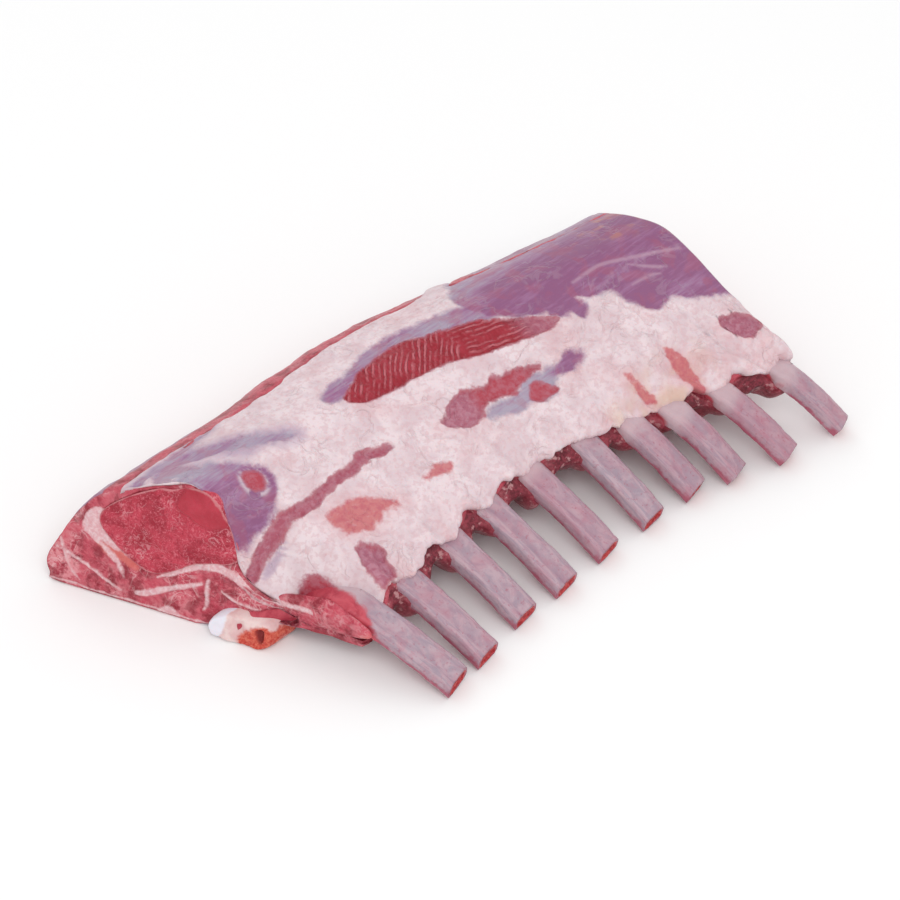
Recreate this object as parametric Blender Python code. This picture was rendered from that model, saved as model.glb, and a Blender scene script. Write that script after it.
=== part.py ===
"""Raw rack of lamb with ten frenched ribs, lying on its rib side with its fat up.

The loin is a loft between two cut ends. Each cross-section is a closed smooth
curve through points that come from named sizes, and the sizes glide from the
left cut to the right cut. The eye muscle runs through the whole length and
shows at both cuts. A layer of fat and silverskin lies over the top, and the
ribs pass under the meat into the sawn stubs of the backbone.

Sizes are in millimetres and turn into metres when a mesh is made.
X runs along the backbone, Y towards the backbone edge, Z up.
"""

import math

import bmesh
import bpy
from mathutils import Vector

MM = 0.001
# Middle of the whole rack, which becomes the origin.
CENTRE_X = -4.175
CENTRE_Y = -4.905

# Left cut: it slants across the rack and its top leans back.
LEFT_CUT_X = -150.0
LEFT_CUT_Y = 76.0
LEFT_CUT_Z = 12.0
LEFT_SLANT = 0.476
LEFT_LEAN = 0.38
# Right cut: nearly square to the length.
RIGHT_CUT_X = 131.0
RIGHT_SLANT = 0.07

# Cross-section sizes at five even places from the left cut to the right cut.
BACK_LOW_Y = (78.6, 75.5, 74.0, 65.0, 57.0)
BACK_HIGH_Y = (67.0, 68.5, 71.0, 61.0, 53.0)
SHOULDER_Y = (53.5, 56.0, 59.0, 49.0, 40.0)
CROWN_Y = (30.0, 30.0, 28.0, 22.0, 12.0)
CROWN_Z = (58.0, 57.5, 57.5, 58.5, 59.0)
SLOPE_Y = (-8.0, -10.0, -8.0, -12.0, -20.0)
SLOPE_Z = (45.0, 46.0, 46.0, 47.0, 47.0)
RIM_Y = (-44.0, -36.0, -33.0, -44.0, -61.0)
RIM_TOP_Z = (32.0, 33.8, 33.8, 33.4, 32.0)
RIM_LOW_Z = (19.0, 21.5, 21.8, 21.8, 21.5)
FOOT_IN_Y = (17.0, 18.0, 18.0, 14.0, 9.0)
FOOT_OUT_INSET = 9.0
BACK_LOW_Z = 12.0
BACK_HIGH_Z = 40.0
SHOULDER_Z = 50.0

# The front of the section thins down into the left cut: how far each corner
# from the upper front to the underside moves there, and over which share.
LEFT_THINNING = (
    # corner, move in y, move in z
    (8, 2.5, -7.5),
    (9, 12.5, -17.5),
    (10, 17.0, -16.6),
    (11, 0.0, -15.0),
    (12, 0.0, -11.5),
    (13, 0.0, -7.5),
    (14, 0.0, -7.5),
    (15, 0.0, -3.0),
)
THINNING_SHARE = 0.044
THINNING_STATIONS = (0.009, 0.018, 0.027, 0.036, 0.045)

SECTION_STEPS = 2
BODY_STATIONS = 13
END_ROUND = 0.9

# Fat layer: where it starts and ends along the section, and how thick it is.
FAT_START = 4.25
FAT_END = 11.15
FAT_STEPS = 14
FAT_THICKNESS = (2.4, 1.6, 1.4, 2.0, 4.0, 4.4, 2.4)
LAYER_GAP = 0.4
RIB_GAP = 0.4
CUTTER_PROUD = 2.0
CUTTER_PAST_END = 0.025

# Eye muscle: centre and half sizes at the same five places.
EYE_Y = (36.0, 32.0, 31.0, 26.0, 19.0)
EYE_Z = (33.4, 33.0, 33.0, 33.5, 33.6)
EYE_HALF_WIDTH = (22.0, 24.5, 24.5, 23.0, 22.0)
EYE_HALF_HEIGHT = (18.8, 18.3, 18.3, 18.6, 19.0)
EYE_TILT = math.radians(6.0)
EYE_POINTS = 20

# Ribs: plan positions of head, root and tip, then the width of the bar.
RIBS = (
    # head x, head y, root x, root y, tip x, tip y, width
    (-116.5, 3.5, -88.5, -35.0, -74.0, -80.0, 14.5),
    (-75.0, 7.5, -65.5, -33.0, -56.0, -78.0, 14.0),
    (-47.0, 7.0, -38.0, -29.0, -30.7, -73.0, 13.8),
    (-23.0, 6.5, -14.5, -30.0, -7.3, -72.3, 13.5),
    (1.0, 6.0, 11.0, -31.0, 18.4, -70.3, 13.2),
    (25.5, 4.0, 39.0, -30.0, 44.5, -70.0, 13.0),
    (47.0, 1.0, 60.5, -40.0, 68.5, -70.5, 12.5),
    (67.5, -3.0, 79.0, -49.0, 88.0, -75.0, 12.0),
    (88.0, -7.0, 101.0, -55.0, 111.5, -82.0, 11.5),
    (109.0, -10.0, 128.5, -62.0, 140.0, -85.0, 11.0),
)
RIB_THICKNESS = 7.5
RIB_HEAD_WIDTH = 15.5
ROOT_Z = 25.5
TIP_Z = 4.6
ARCH = 1.4
RIB_AROUND = 10
# Height and thickness from the sawn head (0) to the root (1).
UNDER_STATIONS = (
    # share of the way, centre height, thickness
    (0.00, 5.6, 8.0),
    (0.10, 6.6, 12.0),
    (0.22, 8.6, 13.0),
    (0.34, 12.0, 11.4),
    (0.46, 16.4, 9.8),
    (0.58, 20.4, 8.8),
    (0.72, 23.4, 8.0),
    (0.86, 25.0, 7.7),
    (1.00, 25.5, 7.5),
)
EXPOSED_STATIONS = 5
TIP_ROUND = 0.7
HEAD_BEND = 2.2
# Rings stand upright up to this share of the way, then lean with the rib.
UPRIGHT_UNTIL = 0.62


def clear_scene():
    """Remove every object that the scene starts with."""
    for item in list(bpy.data.objects):
        bpy.data.objects.remove(item, do_unlink=True)


def glide(values, share):
    """Smooth curve through evenly spaced values, at a share from 0 to 1."""
    last = len(values) - 1
    place = min(max(share, 0.0), 1.0) * last
    index = min(int(place), last - 1)
    part = place - index
    before = values[max(index - 1, 0)]
    left = values[index]
    right = values[index + 1]
    after = values[min(index + 2, last)]
    return hermite(before, left, right, after, part)


def hermite(before, left, right, after, part):
    """One Catmull-Rom span between left and right."""
    square = part * part
    cube = square * part
    return 0.5 * (
        2.0 * left
        + (right - before) * part
        + (2.0 * before - 5.0 * left + 4.0 * right - after) * square
        + (3.0 * left - before - 3.0 * right + after) * cube
    )


def left_cut_x(y, z):
    """X of the left cut plane."""
    return LEFT_CUT_X + (LEFT_CUT_Y - y) * LEFT_SLANT + (z - LEFT_CUT_Z) * LEFT_LEAN


def right_cut_x(y, z):
    """X of the right cut plane."""
    return RIGHT_CUT_X - y * RIGHT_SLANT


def thinning(share):
    """1 at the left cut, falling softly to 0 where the full section starts."""
    part = min(max(share / THINNING_SHARE, 0.0), 1.0)
    return 1.0 - part * part * (3.0 - 2.0 * part)


def section_points(share):
    """Corner points (y, z) of the cross-section, from the foot up and over."""
    back_low = glide(BACK_LOW_Y, share)
    back_high = glide(BACK_HIGH_Y, share)
    shoulder = glide(SHOULDER_Y, share)
    crown_y = glide(CROWN_Y, share)
    crown_z = glide(CROWN_Z, share)
    slope_y = glide(SLOPE_Y, share)
    slope_z = glide(SLOPE_Z, share)
    rim_y = glide(RIM_Y, share)
    rim_top = glide(RIM_TOP_Z, share)
    rim_low = glide(RIM_LOW_Z, share)
    foot_in = glide(FOOT_IN_Y, share)
    span = foot_in - rim_y
    corners = [
        (back_low - FOOT_OUT_INSET, 0.0),
        (back_low - 2.5, 4.0),
        (back_low, BACK_LOW_Z),
        ((back_low + back_high) * 0.5 + 0.8, (BACK_LOW_Z + BACK_HIGH_Z) * 0.5),
        (back_high, BACK_HIGH_Z),
        (shoulder, SHOULDER_Z),
        ((shoulder + crown_y) * 0.5, (SHOULDER_Z + crown_z) * 0.5 + 1.5),
        (crown_y, crown_z),
        ((crown_y + slope_y) * 0.5, (crown_z + slope_z) * 0.5 + 1.5),
        (slope_y, slope_z),
        (rim_y * 0.65 + slope_y * 0.35, rim_top * 0.7 + slope_z * 0.3 + 1.0),
        (rim_y, rim_top),
        (rim_y - 2.2, (rim_top + rim_low) * 0.5),
        (rim_y + 1.5, rim_low),
        (foot_in - span * 0.62, 18.0),
        (foot_in - span * 0.32, 12.0),
        (foot_in, 0.0),
    ]
    near = thinning(share)
    for corner, move_y, move_z in LEFT_THINNING:
        y, z = corners[corner]
        corners[corner] = (y + move_y * near, z + move_z * near)
    return corners


def section_at(share, place):
    """Point (y, z) of the section at a place counted in corner points."""
    points = section_points(share)
    count = len(points)
    index = int(math.floor(place)) % count
    part = place - math.floor(place)
    spans = [points[(index + step) % count] for step in (-1, 0, 1, 2)]
    y = hermite(*[p[0] for p in spans], part)
    z = hermite(*[p[1] for p in spans], part)
    return y, max(z, 0.0)


def inward(share, place):
    """Unit vector (y, z) that points into the meat at a place of the section."""
    ahead = section_at(share, place + 0.05)
    behind = section_at(share, place - 0.05)
    step_y = ahead[0] - behind[0]
    step_z = ahead[1] - behind[1]
    length = math.hypot(step_y, step_z)
    return -step_z / length, step_y / length


def place_point(share, y, z):
    """Point of the loft in millimetres, between the two slanted cuts."""
    x = left_cut_x(y, z) * (1.0 - share) + right_cut_x(y, z) * share
    return Vector((x, y, z))


def outer_ring(share):
    """Full outline of the loin at one station."""
    count = len(section_points(share)) * SECTION_STEPS
    return [section_at(share, step / SECTION_STEPS) for step in range(count)]


def eye_ring(share, grow):
    """Outline of the eye muscle, a soft ellipse."""
    centre_y = glide(EYE_Y, share)
    centre_z = glide(EYE_Z, share)
    half_width = glide(EYE_HALF_WIDTH, share) + grow
    half_height = glide(EYE_HALF_HEIGHT, share) + grow
    ring = []
    for step in range(EYE_POINTS):
        angle = 2.0 * math.pi * step / EYE_POINTS
        across = half_width * math.cos(angle)
        up = half_height * math.sin(angle) * (1.0 - 0.08 * math.cos(2.0 * angle))
        y = across * math.cos(EYE_TILT) - up * math.sin(EYE_TILT)
        z = across * math.sin(EYE_TILT) + up * math.cos(EYE_TILT)
        ring.append((centre_y + y, centre_z + z))
    return ring


def fat_ring(share, outside, inside, past):
    """Outline of the fat layer: out along the top and back along its inside."""
    start = FAT_START - past
    end = FAT_END + past
    outer = []
    inner = []
    for step in range(FAT_STEPS + 1):
        part = step / FAT_STEPS
        place = start + (end - start) * part
        y, z = section_at(share, place)
        in_y, in_z = inward(share, place)
        depth = glide(FAT_THICKNESS, part) + inside
        outer.append((y - in_y * outside, z - in_z * outside))
        inner.append((y + in_y * depth, z + in_z * depth))
    return outer + inner[::-1]


def shrink(ring, amount):
    """Move a ring's points towards its middle by an amount."""
    middle_y = sum(p[0] for p in ring) / len(ring)
    middle_z = sum(p[1] for p in ring) / len(ring)
    result = []
    for y, z in ring:
        away_y = y - middle_y
        away_z = z - middle_z
        length = math.hypot(away_y, away_z)
        keep = (length - amount) / length
        result.append((middle_y + away_y * keep, middle_z + away_z * keep))
    return result


def station_shares(rounded):
    """Places of the stations, closer together near rounded ends."""
    shares = body_shares()
    if rounded:
        near = 0.006
        shares = [0.0, near] + shares[1:-1] + [1.0 - near, 1.0]
    return shares


def body_shares():
    """Even stations, and a few more where the left end thins."""
    even = [step / BODY_STATIONS for step in range(BODY_STATIONS + 1)]
    return sorted(even + list(THINNING_STATIONS))


def add_mesh(name, points, faces, material):
    """Make a closed mesh object from points in millimetres."""
    mesh = bpy.data.meshes.new(name)
    centre = Vector((CENTRE_X, CENTRE_Y, 0.0))
    mesh.from_pydata([(p - centre) * MM for p in points], [], faces)
    if material is not None:
        mesh.materials.append(material)
    for polygon in mesh.polygons:
        polygon.use_smooth = len(polygon.vertices) == 3
    shape = bmesh.new()
    shape.from_mesh(mesh)
    bmesh.ops.recalc_face_normals(shape, faces=shape.faces)
    shape.to_mesh(mesh)
    shape.free()
    result = bpy.data.objects.new(name, mesh)
    bpy.context.scene.collection.objects.link(result)
    return result


def skin_faces(ring_count, around):
    """Triangles between rings, and one flat face at each end."""
    faces = []
    for ring in range(ring_count - 1):
        for step in range(around):
            after = (step + 1) % around
            low = ring * around
            high = low + around
            faces.append((low + step, low + after, high + after))
            faces.append((low + step, high + after, high + step))
    faces.append(tuple(range(around)))
    faces.append(tuple(range((ring_count - 1) * around, ring_count * around)))
    return faces


def loft(name, ring_maker, shares, material, end_round=0.0):
    """Skin rings along the length of the rack into one solid."""
    points = []
    around = 0
    for share in shares:
        ring = ring_maker(share)
        if end_round and share in (0.0, 1.0):
            ring = shrink(ring, end_round)
        around = len(ring)
        points.extend(place_point(share, y, max(z, 0.0)) for y, z in ring)
    return add_mesh(name, points, skin_faces(len(shares), around), material)


def long_loft(name, ring_maker):
    """Skin a cutter that runs past both ends of the rack."""
    rings = [(share, ring_maker(share)) for share in body_shares()]
    stretched = [(-CUTTER_PAST_END, rings[0][1])] + rings
    stretched.append((1.0 + CUTTER_PAST_END, rings[-1][1]))
    points = []
    for share, ring in stretched:
        points.extend(place_point(share, y, z) for y, z in ring)
    around = len(rings[0][1])
    return add_mesh(name, points, skin_faces(len(stretched), around), None)


def rib_stations(rib):
    """Centre, thickness, width and lean along one rib from head to tip."""
    head_x, head_y, root_x, root_y, tip_x, tip_y, width = rib
    stations = []
    for part, height, thickness in UNDER_STATIONS:
        x = root_x + (head_x - root_x) * (1.0 - part) ** HEAD_BEND
        y = head_y + (root_y - head_y) * part
        widen = max(0.0, 1.0 - part / 0.6)
        lean = max(0.0, (part - UPRIGHT_UNTIL) / (1.0 - UPRIGHT_UNTIL))
        stations.append((Vector((x, y, height)), thickness,
                         width + (RIB_HEAD_WIDTH - width) * widen, lean))
    for step in range(1, EXPOSED_STATIONS + 1):
        part = step / EXPOSED_STATIONS
        x = root_x + (tip_x - root_x) * part
        y = root_y + (tip_y - root_y) * part
        drop = (ROOT_Z - TIP_Z) * part
        z = ROOT_Z - drop + ARCH * math.sin(math.pi * part)
        stations.append((Vector((x, y, z)), RIB_THICKNESS, width, 1.0))
    return stations


def bar_ring(centre, along, width, thickness, grow):
    """Cross-section of the rib bar: a flat oval with blunt corners."""
    side = along.cross(Vector((0.0, 0.0, 1.0))).normalized()
    up = side.cross(along).normalized()
    ring = []
    for step in range(RIB_AROUND):
        angle = 2.0 * math.pi * (step + 0.5) / RIB_AROUND
        cosine = math.cos(angle)
        sine = math.sin(angle)
        blunt_x = math.copysign(abs(cosine) ** 0.62, cosine)
        blunt_z = math.copysign(abs(sine) ** 0.62, sine)
        across = blunt_x * (width * 0.5 + grow)
        high = blunt_z * (thickness * 0.5 + grow)
        ring.append(centre + side * across + up * high)
    return ring


def sweep_rib(name, rib, grow, material):
    """Sweep the bar section from the sawn head to the cut tip."""
    stations = rib_stations(rib)
    last = len(stations) - 1
    points = []
    rings = 0
    for index, (centre, thickness, width, lean) in enumerate(stations):
        ahead = stations[min(index + 1, last)][0]
        behind = stations[max(index - 1, 0)][0]
        along = (ahead - behind).normalized()
        along.z *= lean
        along.normalize()
        if index in (0, last):
            way = -1.0 if index == 0 else 1.0
            inner = centre - along * (way * TIP_ROUND)
            outer = centre + along * (way * grow)
            slim = TIP_ROUND * 2.0
            full = bar_ring(inner, along, width, thickness, grow)
            edge = bar_ring(outer, along, width - slim, thickness - slim, grow)
            pair = (edge, full) if index == 0 else (full, edge)
            for ring in pair:
                points.extend(ring)
            rings += 2
        else:
            points.extend(bar_ring(centre, along, width, thickness, grow))
            rings += 1
    return add_mesh(name, points, skin_faces(rings, RIB_AROUND), material)


def make_material(name, colour, roughness):
    """Plain surface with a colour and a roughness."""
    material = bpy.data.materials.new(name)
    material.use_nodes = True
    shader = material.node_tree.nodes["Principled BSDF"]
    shader.inputs["Base Color"].default_value = (*colour, 1.0)
    shader.inputs["Roughness"].default_value = roughness
    shader.inputs["Metallic"].default_value = 0.0
    material.diffuse_color = (*colour, 1.0)
    return material


def cut_all(target, cutters):
    """Subtract all the cutters from a solid in one go."""
    group = bpy.data.collections.new(f"cutters_{target.name}")
    bpy.context.scene.collection.children.link(group)
    for cutter in cutters:
        cutter.hide_render = True
        cutter.display_type = "WIRE"
        bpy.context.scene.collection.objects.unlink(cutter)
        group.objects.link(cutter)
    modifier = target.modifiers.new("cut_all", "BOOLEAN")
    modifier.operation = "DIFFERENCE"
    modifier.solver = "EXACT"
    modifier.operand_type = "COLLECTION"
    modifier.collection = group


def build_rack():
    """Make the fat, the eye muscle, the rest of the meat and the ribs."""
    red = make_material("raw_meat", (0.40, 0.045, 0.07), 0.42)
    eye_red = make_material("eye_meat", (0.44, 0.05, 0.075), 0.42)
    fat = make_material("fat", (0.75, 0.56, 0.56), 0.5)
    bone = make_material("bone", (0.54, 0.38, 0.42), 0.45)

    cover = loft("fat_cover", lambda share: fat_ring(share, 0.0, 0.0, 0.0),
                 station_shares(False), fat)
    # The first rib comes up through the thin end of the fat.
    cut_all(cover, [sweep_rib("first_rib_cutter", RIBS[0], RIB_GAP, None)])
    loft("eye_muscle", lambda share: eye_ring(share, 0.0), station_shares(False), eye_red)
    meat = loft("loin_meat", outer_ring, station_shares(True), red, END_ROUND)

    past = 0.03
    cutters = [
        long_loft("fat_cutter",
                  lambda share: fat_ring(share, CUTTER_PROUD, LAYER_GAP, past)),
        long_loft("eye_cutter", lambda share: eye_ring(share, LAYER_GAP)),
    ]
    for index, rib in enumerate(RIBS, start=1):
        sweep_rib(f"rib_{index:02d}", rib, 0.0, bone)
        cutters.append(sweep_rib(f"rib_cutter_{index:02d}", rib, RIB_GAP, None))
    cut_all(meat, cutters)


clear_scene()
build_rack()
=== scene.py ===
"""Raw rack of lamb with ten frenched ribs, dressed for show.

The rack is made of surfaces worked out with numpy. The loin is a loft whose
section glides from the left cut to the right cut. A cover of fat and silverskin
lies over it, an eye muscle runs through it, and the ribs pass under it.
Lengths are in millimetres until a mesh is made.
"""
import logging
import math
from dataclasses import dataclass, field
from enum import Enum
from typing import Optional, Sequence

import bpy
import numpy as np
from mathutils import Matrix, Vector


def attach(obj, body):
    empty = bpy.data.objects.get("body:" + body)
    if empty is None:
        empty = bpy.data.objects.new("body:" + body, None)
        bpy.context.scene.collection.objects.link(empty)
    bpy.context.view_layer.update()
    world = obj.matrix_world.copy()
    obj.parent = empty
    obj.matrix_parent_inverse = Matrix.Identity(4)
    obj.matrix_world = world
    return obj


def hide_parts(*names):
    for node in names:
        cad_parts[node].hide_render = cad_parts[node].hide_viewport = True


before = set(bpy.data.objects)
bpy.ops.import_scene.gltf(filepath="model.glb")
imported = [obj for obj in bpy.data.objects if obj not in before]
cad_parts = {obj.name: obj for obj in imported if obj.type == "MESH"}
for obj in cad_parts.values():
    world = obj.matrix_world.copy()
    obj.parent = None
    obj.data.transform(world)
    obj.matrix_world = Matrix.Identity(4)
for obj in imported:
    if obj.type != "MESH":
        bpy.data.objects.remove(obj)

Array = np.ndarray
Pair = tuple[float, float]
Colour = tuple[float, float, float]
Socket = bpy.types.NodeSocket

LOG = logging.getLogger("rack_of_lamb")
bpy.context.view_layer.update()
MM = 0.001
FULL_TURN = 2.0 * math.pi
# The named places of the loin and ribs lie this far from the middle of the CAD box, mm.
CENTRE_X = -4.175
CENTRE_Y = -4.905
# Corner points round one section of the loin.
CORNERS = 17
# Depth of a mark that is nowhere near, mm.
NOWHERE = -9.0
# Middle of the eye and middle of the backbone stub at the left cut, y and z, mm.
EYE_CENTRE = (40.0, 36.0)
STUB_CENTRE = (1.5, 6.0)


# ---------------------------------------------------------------- arithmetic

def catmull(before: Array, left: Array, right: Array, after: Array, part: Array) -> Array:
    """One span of a smooth curve that passes through left and right.

    Args:
        before: value before the span.
        left: value where the span starts.
        right: value where the span ends.
        after: value after the span.
        part: place in the span, 0 to 1.

    Returns:
        The cubic whose slopes at both ends are half the difference of the
        neighbouring values.
    """
    square = part * part
    cube = square * part
    return 0.5 * (
        2.0 * left
        + (right - before) * part
        + (2.0 * before - 5.0 * left + 4.0 * right - after) * square
        + (3.0 * left - before - 3.0 * right + after) * cube
    )


def glide(values: Sequence[float], share: Array) -> Array:
    """Smooth curve through evenly spaced values.

    Args:
        values: the values, the first at share 0 and the last at share 1.
        share: where to read the curve.

    Returns:
        The value at each share.
    """
    table = np.asarray(values, float)
    last = len(table) - 1
    place = np.clip(share, 0.0, 1.0) * last
    index = np.minimum(place.astype(int), last - 1)
    return catmull(
        table[np.maximum(index - 1, 0)], table[index], table[index + 1],
        table[np.minimum(index + 2, last)], place - index)


def smooth(low: float, high: float, value: Array) -> Array:
    """Soft step: 0 below low, 1 above high, 3t^2 - 2t^3 between."""
    part = np.clip((value - low) / (high - low), 0.0, 1.0)
    return part * part * (3.0 - 2.0 * part)


def plateau(start: float, full: float, fade: float, end: float, value: Array) -> Array:
    """1 from full to fade, with soft steps down to 0 at start and end."""
    return smooth(start, full, value) * (1.0 - smooth(fade, end, value))


def round_angles(count: int) -> Array:
    """Angles evenly spaced round a full turn, the first at 0."""
    return np.linspace(0.0, FULL_TURN, count, endpoint=False)


def cell_value(x: Array, y: Array, z: Array, seed: int) -> Array:
    """Random number from -1 to 1 that belongs to each whole-number cell."""
    mixed = (x * 73856093) ^ (y * 19349663) ^ (z * 83492791) ^ (seed * 2654435761)
    mixed = mixed & 0xFFFFFFFF
    mixed = ((mixed ^ (mixed >> 15)) * 2246822519) & 0xFFFFFFFF
    mixed = ((mixed ^ (mixed >> 13)) * 3266489917) & 0xFFFFFFFF
    return ((mixed ^ (mixed >> 16)) & 0xFFFF) / 32767.5 - 1.0


def soft_noise(x: Array, y: Array, z: Array, size: float, seed: int) -> Array:
    """Smooth random field.

    Args:
        x: first coordinate, mm.
        y: second coordinate, mm.
        z: third coordinate, mm.
        size: distance between one bump and the next, mm.
        seed: which field to take.

    Returns:
        Values from about -1 to 1, blended between the corners of each cell
        with 6t^5 - 15t^4 + 10t^3.
    """
    x, y, z = (np.broadcast_arrays(x, y, z)[k] / size + 37.5 * seed for k in range(3))
    whole = [np.floor(v).astype(np.int64) for v in (x, y, z)]
    part = [v - w for v, w in zip((x, y, z), whole)]
    fade = [p * p * p * (p * (p * 6.0 - 15.0) + 10.0) for p in part]
    total = np.zeros_like(part[0])
    for corner in range(8):
        bits = [(corner >> k) & 1 for k in range(3)]
        weight = np.ones_like(part[0])
        for bit, f in zip(bits, fade):
            weight = weight * (f if bit else 1.0 - f)
        cell = [w + bit for w, bit in zip(whole, bits)]
        total += weight * cell_value(cell[0], cell[1], cell[2], seed)
    return total


def layered(x: Array, y: Array, z: Array, size: float, seed: int, layers: int = 3) -> Array:
    """Sum of soft_noise fields, each half the size and 0.55 times the height of the last."""
    total = np.zeros(np.broadcast(x, y, z).shape)
    height = 1.0
    for layer in range(layers):
        total += height * soft_noise(x, y, z, size / 2 ** layer, seed + 17 * layer)
        height *= 0.55
    return total


# ------------------------------------------------------------------- regions

def beside(a: Array, b: Array, start: Sequence[float], end: Sequence[float]) \
        -> tuple[Array, Array]:
    """Nearest place on a straight piece.

    Args:
        a: first coordinate of the points.
        b: second coordinate of the points.
        start: where the piece starts.
        end: where it ends.

    Returns:
        Share along the piece, 0 to 1, and the distance to it, for each point.
    """
    da, db = end[0] - start[0], end[1] - start[1]
    from_a, from_b = a - start[0], b - start[1]
    part = np.clip((from_a * da + from_b * db) / (da * da + db * db + 1e-12), 0, 1)
    return part, np.hypot(from_a - part * da, from_b - part * db)


@dataclass(frozen=True)
class Patch:
    """A region with a smooth closed outline, drawn in millimetres.

    Attributes:
        points: places that the outline passes through, in order.
        steps: pieces that each span of the outline is cut into.
    """

    points: tuple[Pair, ...]
    steps: int = 4

    def loop(self) -> Array:
        """Outline points along the smooth curve, as rows of two."""
        table = np.asarray(self.points, float)
        count = len(table)
        place = np.arange(count * self.steps) / self.steps
        index = place.astype(int)
        part = (place - index)[:, None]
        return catmull(
            table[(index - 1) % count], table[index % count],
            table[(index + 1) % count], table[(index + 2) % count], part)

    def radius(self, middle: Pair, angle: Array) -> Array:
        """Distance from a middle point to the outline at each angle."""
        away = self.loop() - np.asarray(middle)
        turn = np.arctan2(away[:, 1], away[:, 0]) % FULL_TURN
        order = np.argsort(turn)
        reach = np.hypot(away[:, 0], away[:, 1])[order]
        return np.interp(angle, turn[order], reach, period=FULL_TURN)

    def depth(self, a: Array, b: Array) -> Array:
        """How far each point lies inside the outline.

        Args:
            a: first coordinate of the points.
            b: second coordinate of the points.

        Returns:
            Distance to the outline, negative outside. A point is inside when
            a line from it crosses the outline an odd number of times.
        """
        loop = self.loop()
        ends = np.roll(loop, -1, axis=0)
        shape = a.shape
        a, b = a.ravel(), b.ravel()
        best = np.full(a.shape, np.inf)
        inside = np.zeros(a.shape, bool)
        for start, end in zip(loop, ends):
            best = np.minimum(best, beside(a, b, start, end)[1])
            crosses = (start[1] > b) != (end[1] > b)
            rise = end[1] - start[1]
            slope = (end[0] - start[0]) / (rise if abs(rise) > 1e-12 else 1e-12)
            inside ^= crosses & (a < start[0] + (b - start[1]) * slope)
        return (best * np.where(inside, 1.0, -1.0)).reshape(shape)


@dataclass(frozen=True)
class Strand:
    """A band along a smooth open line, with a half width at each point.

    Attributes:
        points: rows of first coordinate, second coordinate and half width.
        steps: pieces that each span is cut into.
    """

    points: tuple[tuple[float, float, float], ...]
    steps: int = 5

    def depth(self, a: Array, b: Array) -> Array:
        """Half width of the band less the distance to its middle line.

        Args:
            a: first coordinate of the points.
            b: second coordinate of the points.

        Returns:
            Positive inside the band, negative outside.
        """
        table = np.asarray(self.points, float)
        share = np.linspace(0.0, 1.0, (len(table) - 1) * self.steps + 1)
        line = np.stack([glide(table[:, k], share) for k in range(3)], -1)
        best = np.full(a.shape, -np.inf)
        for start, end in zip(line[:-1], line[1:]):
            part, away = beside(a, b, start, end)
            best = np.maximum(best, start[2] + (end[2] - start[2]) * part - away)
        return best


def widest(regions: Sequence[Patch | Strand], a: Array, b: Array) -> Array:
    """Depth inside the nearest of several regions."""
    return np.max([region.depth(a, b) for region in regions], axis=0)


# -------------------------------------------------------------------- meshes

def add_piece(name: str, points: Array, faces: list, material: bpy.types.Material,
              fields: dict[str, Array]) -> bpy.types.Object:
    """Make a smooth mesh that rides on the rack.

    Args:
        name: the piece's name.
        points: rows of x, y, z in millimetres, in the rack's own frame.
        faces: arrays of vertex numbers, or lists of them.
        material: finish of the whole piece.
        fields: one number per vertex for each named field.

    Returns:
        The new object.
    """
    mesh = bpy.data.meshes.new(name)
    flat: list[tuple[int, ...]] = []
    for group in faces:
        flat.extend(group.tolist() if isinstance(group, np.ndarray) else group)
    mesh.from_pydata((points * MM).tolist(), [], flat)
    for key, values in fields.items():
        layer = mesh.attributes.new(key, "FLOAT", "POINT")
        layer.data.foreach_set("value", np.ascontiguousarray(values, np.float32))
    mesh.polygons.foreach_set("use_smooth", np.ones(len(mesh.polygons), bool))
    mesh.materials.append(material)
    mesh.update()
    piece = bpy.data.objects.new(name, mesh)
    bpy.context.scene.collection.objects.link(piece)
    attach(piece, "root")
    LOG.info("%s: %d faces", name, len(mesh.polygons))
    return piece


def tube_faces(rows: int, around: int, first: int = 0) -> Array:
    """Quads between rings of a closed tube, facing out for rings that run left to right."""
    row = np.arange(rows - 1)[:, None] * around + first
    step = np.arange(around)[None, :]
    after = (step + 1) % around
    quads = np.stack([row + step, row + after, row + around + after, row + around + step], -1)
    return quads.reshape(-1, 4)


def pole_faces(around: int, first: int, pole: int, flip: bool) -> Array:
    """Triangles from one ring to a pole point."""
    step = np.arange(around)
    after = (step + 1) % around
    fan = np.stack([step + first, after + first, np.full(around, pole)], -1)
    return fan[:, ::-1] if flip else fan


def closed_tube(rings: Array, start_pole: Array, end_pole: Array) -> tuple[Array, list]:
    """Points and faces of a tube of rings, closed by a pole at each end."""
    rows, around = rings.shape[:2]
    points = np.concatenate([rings.reshape(-1, 3), start_pole[None], end_pole[None]])
    count = rows * around
    faces = [
        tube_faces(rows, around),
        pole_faces(around, 0, count, True),
        pole_faces(around, count - around, count + 1, False),
    ]
    return points, faces


def add_tube(name: str, rings: Array, material: bpy.types.Material,
             fields: dict[str, Array], flip: bool = False) -> bpy.types.Object:
    """Make a piece from rings that are closed by a pole at each end.

    Args:
        name: the piece's name.
        rings: points by ring and place round it, mm, in the rack's own frame.
        material: finish of the whole piece.
        fields: one number per point for each named field. A pole takes the mean of its ring.
        flip: turn the faces over, for rings that run the other way round.

    Returns:
        The new object.
    """
    points, faces = closed_tube(rings, rings[0].mean(0), rings[-1].mean(0))
    if flip:
        faces = [group[:, ::-1] for group in faces]
    with_poles = {
        key: np.concatenate([values.ravel(), [values[0].mean(), values[-1].mean()]])
        for key, values in fields.items()}
    return add_piece(name, points, faces, material, with_poles)


# ------------------------------------------------------------------- the loin

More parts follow.
